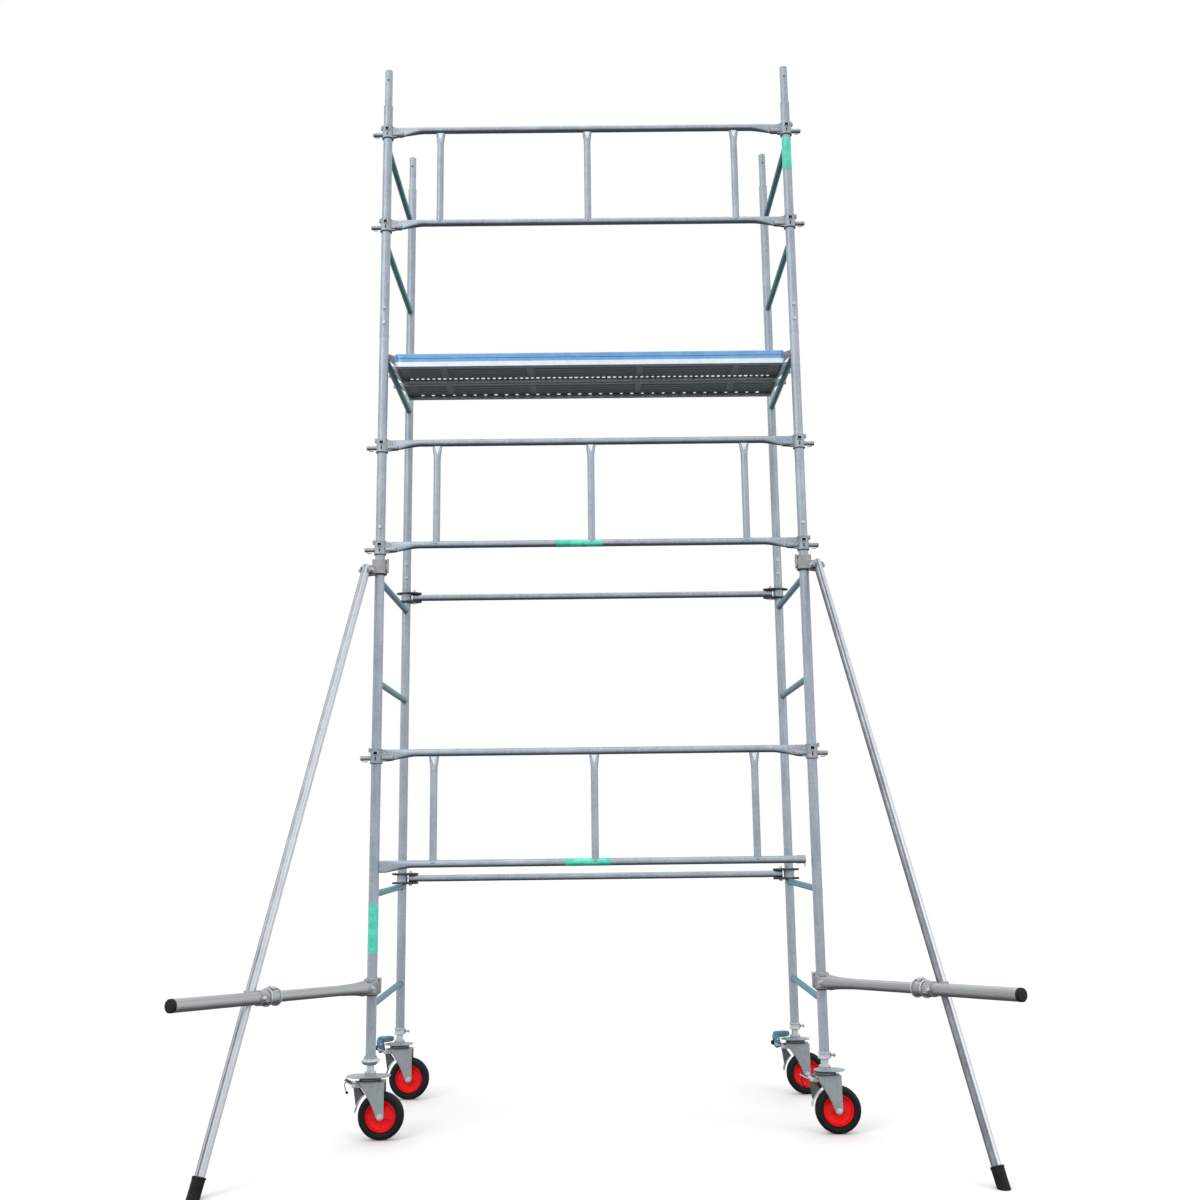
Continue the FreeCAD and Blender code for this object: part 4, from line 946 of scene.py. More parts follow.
def makeFork(corner):
    x, y, axle, wheelRadius, wheelWidth, top = castorPlaces(corner)
    plan = castorPlan
    trail = axle.x - x
    bm = bmesh.new()
    plateTop = top - plan["housing"]
    plateBase = plateTop - plan["plate"]
    raceBase = plateBase - plan["race"]
    crownBase = raceBase - plan["crown"]
    # swivel housing and the lens-shaped plate
    turn(bm, frameAt((x, y, plateTop - 0.001), (0, 0, 1)), plan["neck"], 40)
    levels(bm, frameAt((x, y, plateBase), (0, 0, 1)), ovalOutline(*plateShapes[corner]), plan["lens"])
    # dark ball race with a bright ring
    turn(bm, frameAt((x, y, raceBase), (0, 0, 1)), plan["balls"], 48, 1)
    turn(bm, frameAt((x, y, raceBase + 0.0078), (0, 0, 1)), plan["ring"], 48, 0)
    side = wheelWidth / 2 + plan["cheekGap"] + plan["cheekThick"] / 2
    back, front = trail + plan["tail"], plan["nose"]
    slab(bm, frameAt((x + (back + front) / 2, y, crownBase + plan["crown"] / 2), (0, 0, 1)),
         roundRect(back - front, 2 * side + plan["cheekThick"], 0.005), plan["crown"], 0.0015)
    # cheeks: upright back edge, round end, slanting and slightly hollow front edge
    drop = crownBase - axle.z
    outline = [(back - 0.004, drop + 0.004), (back, drop)]
    radius = plan["endRadius"]
    lean = math.atan2(drop, front - trail) + math.acos(radius / math.hypot(trail - front, drop))
    steps = 14
    for i in range(steps + 1):
        angle = (lean - 2 * math.pi) * i / steps
        outline.append((trail + radius * math.cos(angle), radius * math.sin(angle)))
    last = outline[-1]
    for i in range(1, 7):
        share = i / 6
        hollow = 0.008 * math.sin(math.pi * share)
        outline.append((last[0] + (front - last[0]) * share + hollow, last[1] + (drop - last[1]) * share))
    outline.append((front + 0.004, drop + 0.004))
    for face in (-1, 1):
        place = frameAt((x, y + face * side, axle.z), (0, face, 0), (1, 0, 0))
        flip = 1 if (place.to_3x3() @ Vector((0, 1, 0))).z > 0 else -1
        shape = [(px, pz * flip) for px, pz in outline]
        slab(bm, place, shape, plan["cheekThick"], 0.0012)
        # raised rib beside the back edge, and a rolled bead beside the slanting one
        ribLength = drop - 0.010
        slab(bm, place @ Matrix.Translation((trail + 0.001, flip * (0.014 + ribLength / 2), 0.0024)),
             roundRect(plan["rib"], ribLength, 0.006), 0.0030, 0.0014)
        bead = [place @ Vector((px + 0.006, pz * flip, 0.0022)) for px, pz in outline[-8:-1]]
        tubeAlong(bm, bead, 0.0026, 10)
        # washer and domed nut on the axle
        softRod(bm, place @ Matrix.Translation((trail, 0, 0.002)), 0.0135, 0.0022, 0.0007, 28, 2)
        hexHead(bm, place @ Matrix.Translation((trail, 0, 0.0035)), plan["bolt"], 0.009, finish=2)
        softRod(bm, place @ Matrix.Translation((trail, 0, 0.011)), 0.0055, 0.0032, 0.001, 16, 2)
        # ear and pin of the brake pedal
        pivot = Vector(joints[f"{corner}_brake_press"]["pos_m"])
        ear = [(front + 0.004, 0.009), (pivot.x - x - 0.008, 0.008), (pivot.x - x - 0.0095, -0.007),
               (pivot.x - x, -0.0105), (front + 0.012, -0.010), (front + 0.014, 0.006)]
        earPlace = frameAt((x, y + face * side, pivot.z), (0, face, 0), (1, 0, 0))
        slab(bm, earPlace, [(px, pz * flip) for px, pz in ear], plan["cheekThick"], 0.001)
        hexHead(bm, frameAt((pivot.x, y + face * (side + 0.002), pivot.z), (0, face, 0)), 0.013, 0.006,
                finish=2)
    softRod(bm, frameAt((axle.x, y - side, axle.z), (0, 1, 0)), 0.0060, 2 * side, 0.0005, 20, 2)
    softRod(bm, frameAt((pivot.x, y - side, pivot.z), (0, 1, 0)), 0.0040, 2 * side, 0.0005, 16, 2)
    makePiece(f"{corner}Fork", bm, ["castor_zinc", "dark_zinc", "zinc_fasteners"], f"{corner}_swivel",
              [f"{corner}_fork"])


wheelPlan = {"hubRadius": 0.067, "boss": 0.015, "bore": 0.0068, "spokes": 5, "groove": 0.0095,
             "bush": [(0.0066, -0.003), (0.0105, -0.003), (0.0105, 0.0006), (0.0098, 0.0012),
                      (0.0066, 0.0012)]}


def makeWheel(corner):
    _, _, axle, radius, width, _ = castorPlaces(corner)
    plan = wheelPlan
    place = frameAt(axle, (0, 1, 0))
    half = width / 2
    inner = plan["hubRadius"]
    # tyre: bead seat, wall with a moulded line, round shoulder, grooved tread
    outline = [(inner + 0.0002, 0.0), (inner + 0.0002, half - 0.004), (inner + 0.002, half - 0.001),
               (inner + 0.006, half - 0.0005), (inner + 0.0075, half - 0.0016),
               (inner + 0.009, half - 0.0005), (radius - 0.012, half - 0.0008),
               (radius - 0.0095, half - 0.0018), (radius - 0.0055, half - 0.0045),
               (radius - 0.0025, half - 0.0085), (radius - 0.0006, half - 0.013)]
    groove = plan["groove"]
    outline += [(radius, groove + 0.002), (radius - 0.0028, groove + 0.0010),
                (radius - 0.0028, groove - 0.0010), (radius, groove - 0.002), (radius, 0.0)]
    profile = outline + [(r, -h) for r, h in outline[-2:0:-1]]
    bm = bmesh.new()
    turn(bm, place, profile, 96, 0, hollow=True)
    makePiece(f"{corner}Tyre", bm, ["tyre_black"], f"{corner}_wheel", [f"{corner}_tyre"], 40)
    # core: rim flange, dished web with ribs, boss with a bright bush
    bm = bmesh.new()
    boss = plan["boss"]
    faceHalf = width / 2 + 0.004
    bore = plan["bore"]
    shape = [(bore, 0.0), (bore, faceHalf), (boss - 0.002, faceHalf), (boss, faceHalf - 0.0015),
             (boss + 0.002, 0.012), (boss + 0.006, 0.0095), (inner - 0.016, 0.0090), (inner - 0.010, 0.0115),
             (inner - 0.0062, 0.0190), (inner - 0.0045, 0.0205), (inner - 0.001, 0.0205), (inner, 0.0190)]
    profile = shape + [(inner, -0.0190)] + [(r, -h) for r, h in shape[-2:0:-1]]
    turn(bm, place, profile, 72, 0, hollow=True)
    for i in range(plan["spokes"]):
        angle = 2 * math.pi * i / plan["spokes"] + 0.3
        for face in (-1, 1):
            mid = (boss + inner - 0.012) / 2
            out = place.to_3x3() @ Vector((math.cos(angle), math.sin(angle), 0))
            spot = axle + out * mid + Vector((0, face * 0.0098, 0))
            slab(bm, frameAt(spot, (0, face, 0), out), roundRect(inner - boss - 0.012, 0.006, 0.0025),
                 0.0034, 0.0013)
    for face in (-1, 1):
        bushPlace = frameAt(axle + Vector((0, face * faceHalf, 0)), (0, face, 0))
        turn(bm, bushPlace, plan["bush"], 28, 1, hollow=True)
    makePiece(f"{corner}Core", bm, ["wheel_red", "zinc_fasteners"], f"{corner}_wheel",
              [f"{corner}_wheel_hub"], 38)


pedalPlan = {"gap": 0.0152, "from": 131, "to": 172, "gussetEnd": 160, "gussets": (-0.28, 0.28),
             "thick": 0.0054, "barrel": 0.0078, "treadLength": 0.042,
             "lever": [(0.005, -0.010), (0.001, -0.004), (0.0, 0.004), (0.0, 0.040), (0.002, 0.050),
                       (0.006, 0.056)],
             "arch": [(0.004, -0.014), (0.0, -0.006), (0.0, 0.042), (0.003, 0.060), (0.006, 0.066)],
             "tip": [(0.002, -0.004), (0.0, 0.002), (0.001, 0.012), (0.006, 0.018)],
             "knob": [(0.002, 0), (0.0055, 0.0015), (0.0065, 0.006), (0.0055, 0.010), (0.002, 0.012)]}


def makePedal(corner):
    # barrel, brake strip with two gussets, tread, then a lever or a rubber pad with a wire
    x, y, axle, radius, width, _ = castorPlaces(corner)
    plan = pedalPlan
    pivot = Vector(joints[f"{corner}_brake_press"]["pos_m"])
    low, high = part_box(f"{corner}_brake_pedal")
    wide = high.y - low.y
    bm = bmesh.new()
    softRod(bm, frameAt((pivot.x, y - wide / 2, pivot.z), (0, 1, 0)), plan["barrel"], wide, 0.001, 24, 0)

    def onShoe(angle, extra=0.0):
        turnBy = math.radians(angle)
        reach = radius + plan["gap"] + extra
        return Vector((axle.x + reach * math.cos(turnBy), y, axle.z + reach * math.sin(turnBy)))
    steps = 12
    shoe = [onShoe(plan["from"] + (plan["to"] - plan["from"]) * i / steps) for i in range(steps + 1)]
    half = steps // 2
    bentStrip(bm, shoe[:half + 1], wide * 0.82, plan["thick"])
    bentStrip(bm, shoe[half:], wide * 0.82, plan["thick"], finish=1)
    gussetAngles = [plan["from"] + (plan["gussetEnd"] - plan["from"]) * i / 8 for i in range(9)]
    gusset = [onShoe(angle, 0.0006) - pivot for angle in gussetAngles]
    gusset = [(point.x, point.z) for point in gusset] + [(-0.006, -0.004), (0.004, 0.006)]
    place = frameAt(pivot, (0, -1, 0), (1, 0, 0))
    for offset in plan["gussets"]:
        slab(bm, place @ Matrix.Translation((0, 0, wide * offset)), gusset, 0.0042, 0.0010, 3)
    tread = [Vector((pivot.x - plan["treadLength"] * s, y, pivot.z + 0.010 * s * s + 0.006 * s))
             for s in (0, 0.2, 0.4, 0.6, 0.8, 1.0)]
    bentStrip(bm, tread, wide, plan["thick"] + 0.0006)
    tip = tread[-1]
    if corner.startswith("rear"):
        # boxed lever that rises in front of the plate and reaches back over it, with a black tip
        matrix = frameAt((pivot.x - 0.024, y, pivot.z + 0.004), (-0.22, 0, 1), (0, 1, 0))
        levels(bm, matrix, roundRect(wide * 0.92, 0.034, 0.008), plan["lever"], 1)
        arch = frameAt((pivot.x - 0.030, y, pivot.z + 0.0565), (1, 0, 0.06), (0, 1, 0))
        levels(bm, arch, roundRect(wide * 0.80, 0.028, 0.007), plan["arch"], 1)
        tipPlace = frameAt((pivot.x - 0.040, y, pivot.z + 0.018), (-1, 0, -0.15), (0, 1, 0))
        levels(bm, tipPlace, roundRect(wide * 0.62, 0.024, 0.008), plan["tip"], 2)
        for offset in (-0.30, 0.30):
            pin = (pivot.x - 0.030 + offset * 0.01, y - wide * 0.47, pivot.z + 0.020 + offset * 0.05)
            softRod(bm, frameAt(pin, (0, 1, 0)), 0.0050, wide * 0.94, 0.0015, 20, 0)
    else:
        # ribbed rubber pad, and a bent wire down to a small knob
        for i in range(4):
            spot = tread[2].lerp(tread[5], i / 3) + Vector((0.001, 0, 0.0035))
            spot -= Vector((0, wide * 0.4, 0))
            softRod(bm, frameAt(spot, (0, 1, 0)), 0.0030, wide * 0.8, 0.0012, 12, 2)
        wire = [tip + Vector((0.004, wide * -0.42, -0.001)), tip + Vector((-0.001, wide * -0.46, -0.016)),
                tip + Vector((0.004, wide * -0.47, -0.034)), tip + Vector((0.010, wide * -0.47, -0.046))]
        tubeAlong(bm, wire, 0.0019, 10, 2)
        turn(bm, frameAt(wire[-1] + Vector((-0.002, 0, 0.004)), wire[-1] - wire[-2]), plan["knob"], 20, 2)
    finishes = ["pedal_zinc", "lever_teal" if corner.startswith("rear") else "pedal_zinc", "black_rubber",
                "dark_zinc"]
    makePiece(f"{corner}BrakePedal", bm, finishes, f"{corner}_brake", [f"{corner}_brake_pedal"])


collarPlan = {"bore": 0.0192, "nutRadius": 0.0440, "nutFrom": 0.060,
              "wing": [(0.000, 0.000), (0.004, 0.009), (0.011, 0.0165), (0.0165, 0.0165), (0.0172, 0.012),
                       (0.013, 0.006), (0.0125, 0.0)]}


def makeCollars():
    # front left: broad flanged nut; the others: rings with a stiffened rim and a boss for the bolt
    bm = bmesh.new()
    for low, high in solidsOf("leg_collars"):
        centre = middle((low, high))
        tall = high.z - low.z
        base = frameAt((centre.x, centre.y, low.z), (0, 0, 1))
        bore = collarPlan["bore"]
        if high.x - low.x > collarPlan["nutFrom"]:
            radius = collarPlan["nutRadius"]
            turn(bm, base, [(bore, 0), (0.030, 0), (radius * 0.93, tall * 0.34), (radius, tall * 0.52),
                            (radius * 0.95, tall * 0.68), (0.031, tall * 0.94), (0.0285, tall), (bore, tall)],
                 6, 0, hollow=True)
            turn(bm, base, [(bore, tall * 0.86), (0.0295, tall * 0.86), (0.0295, tall + 0.004),
                            (0.0275, tall + 0.006), (0.0232, tall + 0.006), (0.0228, tall), (bore, tall)],
                 36, 1, hollow=True)
        else:
            turn(bm, base, [(bore, 0), (0.0272, 0), (0.0286, 0.002), (0.0286, 0.0055), (0.0258, 0.008),
                            (0.0255, tall - 0.008), (0.0286, tall - 0.0055), (0.0286, tall - 0.001),
                            (0.0272, tall), (bore, tall)], 40, 0, hollow=True)
            boss = frameAt((centre.x + 0.022, centre.y, centre.z), (1, 0, 0))
            softRod(bm, boss, 0.0088, 0.0085, 0.0015, 20, 1)
    makePiece("legCollars", bm, ["zinc_fasteners", "castor_zinc"], "tower", ["leg_collars"])
    bm = bmesh.new()
    for low, high in solidsOf("collar_wing_bolts"):
        centre = middle((low, high))
        shank = frameAt((low.x, centre.y, centre.z), (1, 0, 0))
        softRod(bm, shank, 0.0049, high.x - low.x - 0.004, 0.0008, 20)
        turn(bm, frameAt((high.x - 0.012, centre.y, centre.z), (1, 0, 0)),
             [(0.0062, 0), (0.0085, 0.0015), (0.0085, 0.008), (0.0060, 0.011)], 20)
        for way in (-1, 1):
            place = frameAt((high.x - 0.0125, centre.y + way * 0.0045, centre.z), (0, 0, 1), (1, 0, 0))
            wing = [(px * 0.72, way * py * 0.74) for px, py in collarPlan["wing"]]
            slab(bm, place, wing, 0.0042, 0.0012)
    makePiece("wingBolts", bm, ["zinc_fasteners"], "tower", ["collar_wing_bolts"])


# stabiliser sleeves and their bolts
sleevePlan = {"half": 0.0330, "bore": 0.0229, "square": 5.0, "braceRadius": 0.020, "armRadius": 0.022,
              "lugThick": 0.0070, "lugGap": 0.0043}


def armLines(side):
    # the arm's axis, its level direction, the one square to that, and the inner tube's centre
    arm = Vector(joints[f"{side}_arm_slide"]["axis"])
    flat = Vector((arm.x, arm.y, 0)).normalized()
    return arm, flat, Vector((-flat.y, flat.x, 0)), middle(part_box(f"{side}_arm_inner_tube"))


def makeSleeves(side):
    sign = sides[side]
    plan = sleevePlan
    swing = Vector(joints[f"{side}_stabiliser_swing"]["pos_m"])
    _, flat, across, _ = armLines(side)
    boxes = solidsOf(f"{side}_stabiliser_clamps")
    sleeves = [box for box in boxes if box[1].z - box[0].z > 0.05]
    bolts = [box for box in boxes if box[1].z - box[0].z <= 0.05]
    bm = bmesh.new()
    for low, high in sleeves:
        z = (low.z + high.z) / 2
        half = (high.z - low.z) / 2
        base = frameAt((swing.x, swing.y, z), (0, 0, 1))
        wide, bore, square = plan["half"], plan["bore"], plan["square"]
        turn(bm, base, [(bore, -half), (wide - 0.003, -half), (wide, -half + 0.003, square),
                        (wide, half - 0.003, square), (wide - 0.003, half), (bore, half)], 64, 0, hollow=True)
        # a dark ring that shows under the sleeve
        turn(bm, base, [(bore, -half - 0.0035), (bore + 0.005, -half - 0.0035), (bore + 0.005, -half + 0.002),
                        (bore, -half + 0.002)], 40, 2, hollow=True)
        bolt = min(bolts, key=lambda box: abs(middle(box).z - z))
        spot = middle(bolt)
        away = 1 if (spot - swing).dot(across) > 0 else -1
        run = (spot - swing).dot(flat)
        reach = (spot - swing).dot(across) * away
        # two lug plates that hold the tube between them
        tubeRadius = plan["braceRadius"] if z > 1.5 else plan["armRadius"]
        for offset in (-tubeRadius - plan["lugGap"], tubeRadius + plan["lugGap"]):
            place = swing + across * away * (reach + offset)
            place.z = spot.z
            aside = abs(reach + offset) - 0.004
            root = max(math.sqrt(max(0.0242 ** 2 - aside ** 2, 0)), 0.030 if offset > 0 else 0.004)
            outline = [(root, 0.030), (run * 0.55, 0.026), (run + 0.014, 0.014), (run + 0.019, 0.0),
                       (run + 0.014, -0.014), (run * 0.55, -0.026), (root, -0.030)]
            foot, head = z - half + 0.001 - spot.z, z + half - 0.001 - spot.z
            outline = [(max(px, root), -away * min(max(-away * py, foot), head)) for px, py in outline]
            slab(bm, frameAt(place, across * away, flat), outline, plan["lugThick"], 0.0012)
        start = swing + across * away * reach
        start.z = spot.z
        start += flat * run
        boltSet(bm, start, across * away, 0.019, 2 * tubeRadius + 0.016, 1)
        # bridge between the outer lug and the sleeve
        bridge = swing + flat * 0.034 + across * away * (reach + 0.004)
        bridge.z = spot.z
        slab(bm, frameAt(bridge, flat, across), roundRect(2 * tubeRadius + 0.016, 0.050, 0.004), 0.006,
             0.0012)
        # round boss with a bolt on the outward side, and a thin tab on the inward side
        outer = frameAt((swing.x + sign * (wide - 0.002), swing.y + 0.004, z - 0.003), (sign, 0, 0))
        softRod(bm, outer, 0.0165, 0.013, 0.0035, 32, 0)
        hexHead(bm, outer @ Matrix.Translation((0, 0, 0.012)), 0.017, 0.008, finish=1)
        tab = frameAt((swing.x - sign * (wide + 0.006), swing.y - 0.010, z + 0.005), (sign, 0, 0), (0, 1, 0))
        slab(bm, tab, roundRect(0.034, half * 1.85, 0.004), 0.005, 0.0012)
        slab(bm, frameAt((swing.x - sign * (wide + 0.001), swing.y - 0.010, z), (0, 0, 1)),
             roundRect(0.014, 0.026, 0.003), 0.030, 0.0012)
    makePiece(f"{side}StabiliserClamps", bm, ["clamp_grey", "zinc_fasteners", "dark_clamp"],
              f"{side}_stabiliser", [f"{side}_stabiliser_clamps"])


armPlan = {"flangeInner": 0.0312, "flange": 0.0352, "flanges": (-0.0005, 0.0545),
           "root": [(0.0222, 0.048), (0.0330, 0.048), (0.0326, 0.054), (0.0290, 0.078), (0.0262, 0.110),
                    (0.0244, 0.150), (0.0232, 0.190), (0.0222, 0.205)],
           "cap": [(0.0150, 0), (0.0225, 0.0010), (0.0252, 0.0036), (0.0256, 0.008), (0.0246, 0.0092),
                   (0.0256, 0.0104), (0.0256, 0.014), (0.0212, 0.0142)],
           "capInner": 0.0208, "earOut": 0.0365 * 1.62}


def makeArmRoot(side):
    # the tube swells into its sleeve
    arm, _, _, origin = armLines(side)
    near, _ = spanAlong(f"{side}_arm_inner_tube", origin, arm)
    bm = bmesh.new()
    turn(bm, frameAt(origin + arm * near, arm), armPlan["root"], 40, 0, hollow=True)
    makePiece(f"{side}ArmRoot", bm, ["arm_grey"], f"{side}_stabiliser")


def makeArmCollar(side):
    # the sliding collar's two bright flanges, with a lug and its bolt between them
    arm, _, _, origin = armLines(side)
    first, _ = spanAlong(f"{side}_arm_outer_tube", origin, arm)
    bm = bmesh.new()
    base = frameAt(origin + arm * first, arm)
    bore, rim = armPlan["flangeInner"], armPlan["flange"]
    for offset in armPlan["flanges"]:
        turn(bm, base, [(bore, offset), (rim, offset), (rim + 0.001, offset + 0.0015),
                        (rim + 0.001, offset + 0.0045), (rim, offset + 0.006), (bore, offset + 0.006)],
             48, 1, hollow=True)
    slab(bm, base @ Matrix.Translation((0, 0.0335, 0.030)), roundRect(0.014, 0.012, 0.003), 0.040, 0.0015, 0)
    boltSet(bm, base @ Vector((0, 0.0350, 0.030)), base.to_3x3() @ Vector((1, 0, 0)), 0.013, 0.016, 1)
    makePiece(f"{side}ArmCollar", bm, ["arm_grey", "zinc_fasteners"], f"{side}_arm")


def makeArmCap(side):
    # ribbed rubber cap on the arm's end
    arm, _, _, origin = armLines(side)
    bm = bmesh.new()
    low, high = spanAlong(f"{side}_arm_end_cap", origin, arm)
    profile = armPlan["cap"] + [(armPlan["capInner"], high - low)]
    turn(bm, frameAt(origin + arm * high, -arm), profile, 40)
    makePiece(f"{side}ArmCap", bm, ["black_rubber"], f"{side}_arm", [f"{side}_arm_end_cap"])


def makeCouplerBolts(side):
    # ears and bolts on both sides of the coupler where brace and arm cross
    arm, _, across, _ = armLines(side)
    spot = middle(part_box(f"{side}_stabiliser_coupler"))
    bm = bmesh.new()
    for way in (-1, 1):
        place = spot + across * (armPlan["earOut"] * way)
        slab(bm, frameAt(place, across * way, arm), roundRect(0.026, 0.030, 0.004), 0.010, 0.0015)
        boltSet(bm, place + across * way * 0.001, arm, 0.015, 0.030, 1)
    makePiece(f"{side}CouplerBolts", bm, ["clamp_grey", "zinc_fasteners"], f"{side}_stabiliser")


footPlan = {"above": 0.030, "floor": 0.0002,
            "steps": [(0.0215, -0.010), (0.0262, -0.009), (0.0268, -0.003), (0.0250, 0.000), (0.0258, 0.006),
                      (0.0246, 0.008), (0.0256, 0.014), (0.0244, 0.016), (0.0254, 0.022), (0.0246, 0.024),
                      (0.0250, 0.110)]}


def makeFeet():
    # tapered rubber feet with grip rings, cut level with the floor
    for side in sides:
        low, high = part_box(f"{side}_stabiliser_foot")
        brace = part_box(f"{side}_stabiliser_brace")
        near, far = (brace[0].x, brace[1].x) if side == "right" else (brace[1].x, brace[0].x)
        top = Vector((near, brace[1].y, brace[1].z))
        bottom = Vector((far, brace[0].y, brace[0].z))
        down = (bottom - top).normalized()
        centre = middle((low, high))
        base = centre - down * footPlan["above"]
        bm = bmesh.new()
        turn(bm, frameAt(base, down), footPlan["steps"], 40)
        cut = bmesh.ops.bisect_plane(bm, geom=bm.verts[:] + bm.edges[:] + bm.faces[:], plane_no=(0, 0, -1),
                                     plane_co=(0, 0, footPlan["floor"]), clear_outer=True)
        rim = [e for e in cut["geom_cut"] if isinstance(e, bmesh.types.BMEdge)]
        bmesh.ops.edgeloop_fill(bm, edges=rim)
        makePiece(f"{side}BraceFoot", bm, ["black_rubber"], f"{side}_stabiliser", [f"{side}_stabiliser_foot"])


ledgerPlan = {"bore": 0.0228, "band": 0.0285, "jawRise": 0.0225, "jawThick": 0.0110,
              "jaw": [(-0.036, -0.020), (-0.058, 0.0), (-0.036, 0.020), (0.010, 0.032), (0.052, 0.022),
                      (0.078, 0.0), (0.052, -0.022), (0.010, -0.032)]}


def makeLedgerClamps():
    # dark double couplers: a band, two ears, jaws above and below the ledger, two bolts
    bm = bmesh.new()
    plan = ledgerPlan
    for low, high in solidsOf("ledger_clamps"):
        sign = 1 if low.x + high.x > 0 else -1
        x, z = sign * bayX, (low.z + high.z) / 2
        half = (high.z - low.z) / 2
        base = frameAt((x, rearY, z), (0, 0, 1))
        turn(bm, base, [(plan["bore"], -half), (plan["band"] - 0.002, -half), (plan["band"], -half + 0.003),
                        (plan["band"] - 0.0018, -half + 0.012), (plan["band"] - 0.0018, half - 0.012),
                        (plan["band"], half - 0.003), (plan["band"] - 0.002, half), (plan["bore"], half)],
             40, 2, hollow=True)
        for way in (-1, 1):
            # jaws above and below the ledger's end, drawn to a blunt point
            spot = (x - sign * 0.006, rearY - 0.006, z + way * plan["jawRise"])
            slab(bm, frameAt(spot, (0, 0, 1), (-sign, 0, 0)), plan["jaw"], plan["jawThick"], 0.0034)
            slab(bm, frameAt((x + way * 0.0052, rearY + 0.040, z), (1, 0, 0), (0, 1, 0)),
                 roundRect(0.030, half * 1.7, 0.007), 0.0052, 0.0012)
        boltSet(bm, (x, rearY + 0.0425, z), (1, 0, 0), 0.016, 0.017, 1)
        boltSet(bm, (x - sign * 0.045, rearY - 0.014, z), (0, 0, 1), 0.016, 0.056, 1)
    makePiece("ledgerClamps", bm, ["dark_clamp", "zinc_fasteners", "pressed_steel"], "tower",
              ["ledger_clamps", "ledger_clamp_bolts"])


# each label on a rail: the node, where it starts along X, and its length
labelPlan = {"lift": 0.0002, "thick": 0.0005, "arcSteps": 20, "runs": 6, "postArcs": (196, 190),
             "railArc": 205,
             "onRails": (("lower_guardrail", -0.136, 0.205), ("middle_guardrail", -0.168, 0.220))}


def wrapLabel(bm, matrix, radius, length, arc):
    # a thin blank film wrapped part of the way round a tube, local Z along it
    steps, runs = labelPlan["arcSteps"], labelPlan["runs"]
    inner = radius + labelPlan["lift"]
    outer = inner + labelPlan["thick"]
    half = math.radians(arc / 2)
    arcPoints = [(-half + 2 * half * k / steps) for k in range(steps + 1)]
    rings = []
    for i in range(runs + 1):
        z = length * i / runs
        ring = [matrix @ Vector((outer * math.cos(a), outer * math.sin(a), z)) for a in arcPoints]
        ring += [matrix @ Vector((inner * math.cos(a), inner * math.sin(a), z)) for a in reversed(arcPoints)]
        rings.append(ring)
    skin(bm, rings)


def makeLabels():
    bm = bmesh.new()
    towards = (0, -1, 0)
    rightFoot = max(box[0].z for box in solidsOf("rail_pockets")) - 0.190
    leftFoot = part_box("lower_guardrail")[0].z - 0.345
    rightArc, leftArc = labelPlan["postArcs"]
    wrapLabel(bm, frameAt((bayX, frontY, rightFoot), (0, 0, 1), towards), postRadius, 0.172, rightArc)
    wrapLabel(bm, frameAt((-bayX, frontY, leftFoot), (0, 0, 1), towards), postRadius, 0.215, leftArc)
    for node, start, length in labelPlan["onRails"]:
        height = min(solid[1].z for solid in solidsOf(node)) - railPlan["radius"]
        wrapLabel(bm, frameAt((start, frontY, height), (1, 0, 0), towards), railPlan["radius"], length,
                  labelPlan["railArc"])
    makePiece("blankLabels", bm, ["label"], "tower")


makeGuardrails()
makePosts()
makePockets()
makeLockPins()
makeWelds()
makeFrameRings()
print("guardrails, pockets and welds made")
makePlank("frontPlankSheet", "front_plank", False, 0.0275)
makePlank("rearPlankSheet", "rear_plank", True, 0.0545)
print("planks made")
for corner in corners:
    makeFork(corner)
    makeWheel(corner)
    makePedal(corner)
makeCollars()
print("castors made")
for side in sides:
    makeSleeves(side)
    makeArmRoot(side)
    makeArmCollar(side)
    makeArmCap(side)
    makeCouplerBolts(side)
makeFeet()
makeLedgerClamps()
makeLabels()
print("stabilisers, clamps and labels made")

cameraPlan = {"ahead": 5.865, "aside": 0.007, "up": 1.317, "tiltDeg": 10.26, "panDeg": 0.28,
              "rollDeg": 0.72, "lens": 38.09, "sensor": 36.0, "farClip": 300.0}


def placeCamera(plan):
    tilt, pan, roll = (math.radians(plan[key]) for key in ("tiltDeg", "panDeg", "rollDeg"))
    forward = Vector((math.sin(pan) * math.cos(tilt), math.cos(pan) * math.cos(tilt), math.sin(tilt)))
    right = forward.cross(Vector((0, 0, 1))).normalized()
    up = right.cross(forward)
    turnedRight = right * math.cos(roll) - up * math.sin(roll)
    turnedUp = right * math.sin(roll) + up * math.cos(roll)
    data = bpy.data.cameras.new("viewCamera")
    data.lens = plan["lens"]
    data.sensor_width = plan["sensor"]
    data.clip_end = plan["farClip"]
    camera = bpy.data.objects.new("viewCamera", data)
    axes = Matrix((turnedRight, turnedUp, -forward)).transposed().to_4x4()
    camera.matrix_world = Matrix.Translation((plan["aside"], frontY - plan["ahead"], plan["up"])) @ axes
    bpy.context.scene.collection.objects.link(camera)
    bpy.context.scene.camera = camera


# skyBand: the height where the sky starts to brighten, where it stops, and its value below and above
stagePlan = {"radius": 60.0, "floor": (0.86, 0.86, 0.86, 1), "floorDark": (0.84, 0.84, 0.845, 1), "sky": 1.0,
             "skyBand": (-0.42, -0.20, 0.22, 1.0), "sunStrength": 0.7, "sunSpreadDeg": 40,
             "sunTiltDeg": (8, -6)}
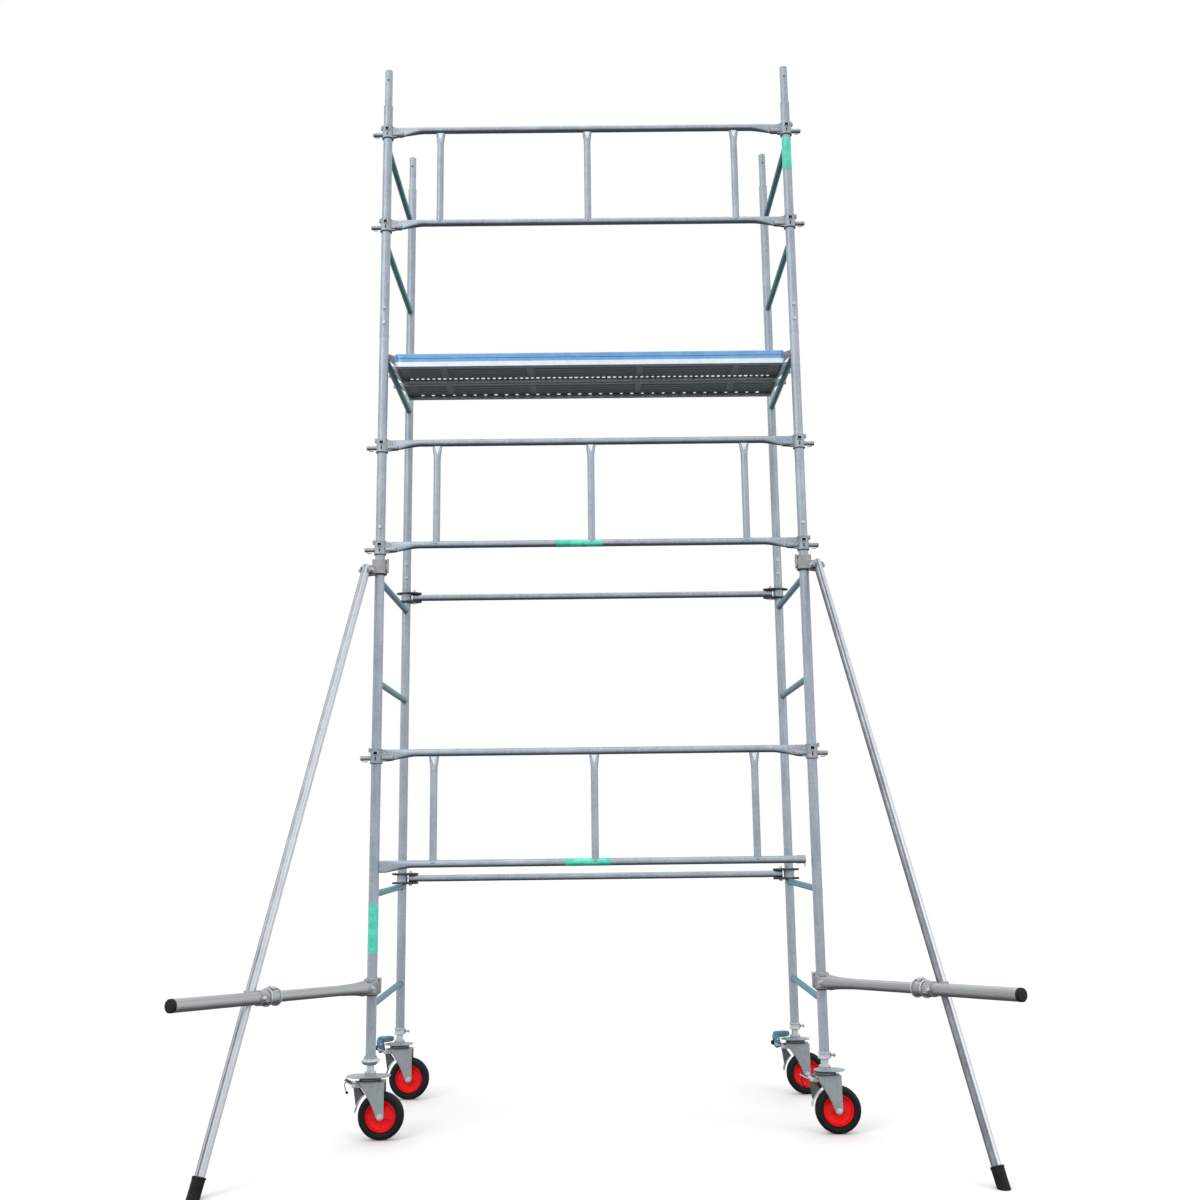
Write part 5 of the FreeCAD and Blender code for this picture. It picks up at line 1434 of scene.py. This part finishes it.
# each lamp: its place, what it looks at, its size and its power
lampPlan = {"keyLamp": ((-4.5, -5.0, 6.5), (0.0, 0.3, 2.2), (3.0, 4.0), 160.0),
            "fillLamp": ((5.0, -3.0, 3.0), (0.0, 0.3, 2.0), (3.0, 4.0), 40.0)}


def layStage(plan):
    mesh = bpy.data.meshes.new("paleFloor")
    bm = bmesh.new()
    bmesh.ops.create_circle(bm, cap_ends=True, segments=96, radius=plan["radius"])
    bm.to_mesh(mesh)
    bm.free()
    floor = bpy.data.objects.new("paleFloor", mesh)
    floor.location.z = -0.0005
    bpy.context.scene.collection.objects.link(floor)
    f = Finish("paleFloor")
    soft = f.noise(3.0, 3.0)
    colour = f.tint(soft, plan["floorDark"], plan["floor"])
    mesh.materials.append(f.finish(colour, soft * 0.1 + 0.75, 0.0, soft, 0.02, 0.0005))
    floor.visible_diffuse = False
    floor.visible_glossy = False
    world = bpy.data.worlds.new("paleStudio")
    world.use_nodes = True
    tree = world.node_tree
    place = tree.nodes.new("ShaderNodeTexCoord")
    split = tree.nodes.new("ShaderNodeSeparateXYZ")
    band = tree.nodes.new("ShaderNodeMapRange")
    for key, value in zip(("From Min", "From Max", "To Min", "To Max"), plan["skyBand"]):
        band.inputs[key].default_value = value
    tree.links.new(place.outputs["Generated"], split.inputs[0])
    tree.links.new(split.outputs["Z"], band.inputs["Value"])
    tree.links.new(band.outputs[0], tree.nodes["Background"].inputs["Color"])
    tree.nodes["Background"].inputs["Strength"].default_value = plan["sky"]
    bpy.context.scene.world = world


def addLamp(name, place, target, size, power):
    data = bpy.data.lights.new(name, "AREA")
    data.shape = "RECTANGLE"
    data.size, data.size_y = size
    data.energy = power
    lamp = bpy.data.objects.new(name, data)
    lamp.location = place
    lamp.rotation_euler = (Vector(target) - Vector(place)).to_track_quat("-Z", "Y").to_euler()
    bpy.context.scene.collection.objects.link(lamp)


placeCamera(cameraPlan)
layStage(stagePlan)
for name, values in lampPlan.items():
    addLamp(name, *values)
sun = bpy.data.objects.new("softSun", bpy.data.lights.new("softSun", "SUN"))
sun.data.energy = stagePlan["sunStrength"]
sun.data.angle = math.radians(stagePlan["sunSpreadDeg"])
sun.rotation_euler = [math.radians(turned) for turned in stagePlan["sunTiltDeg"]] + [0]
bpy.context.scene.collection.objects.link(sun)
bpy.context.scene.view_settings.view_transform = "Standard"
print("stage, lamps and camera set")
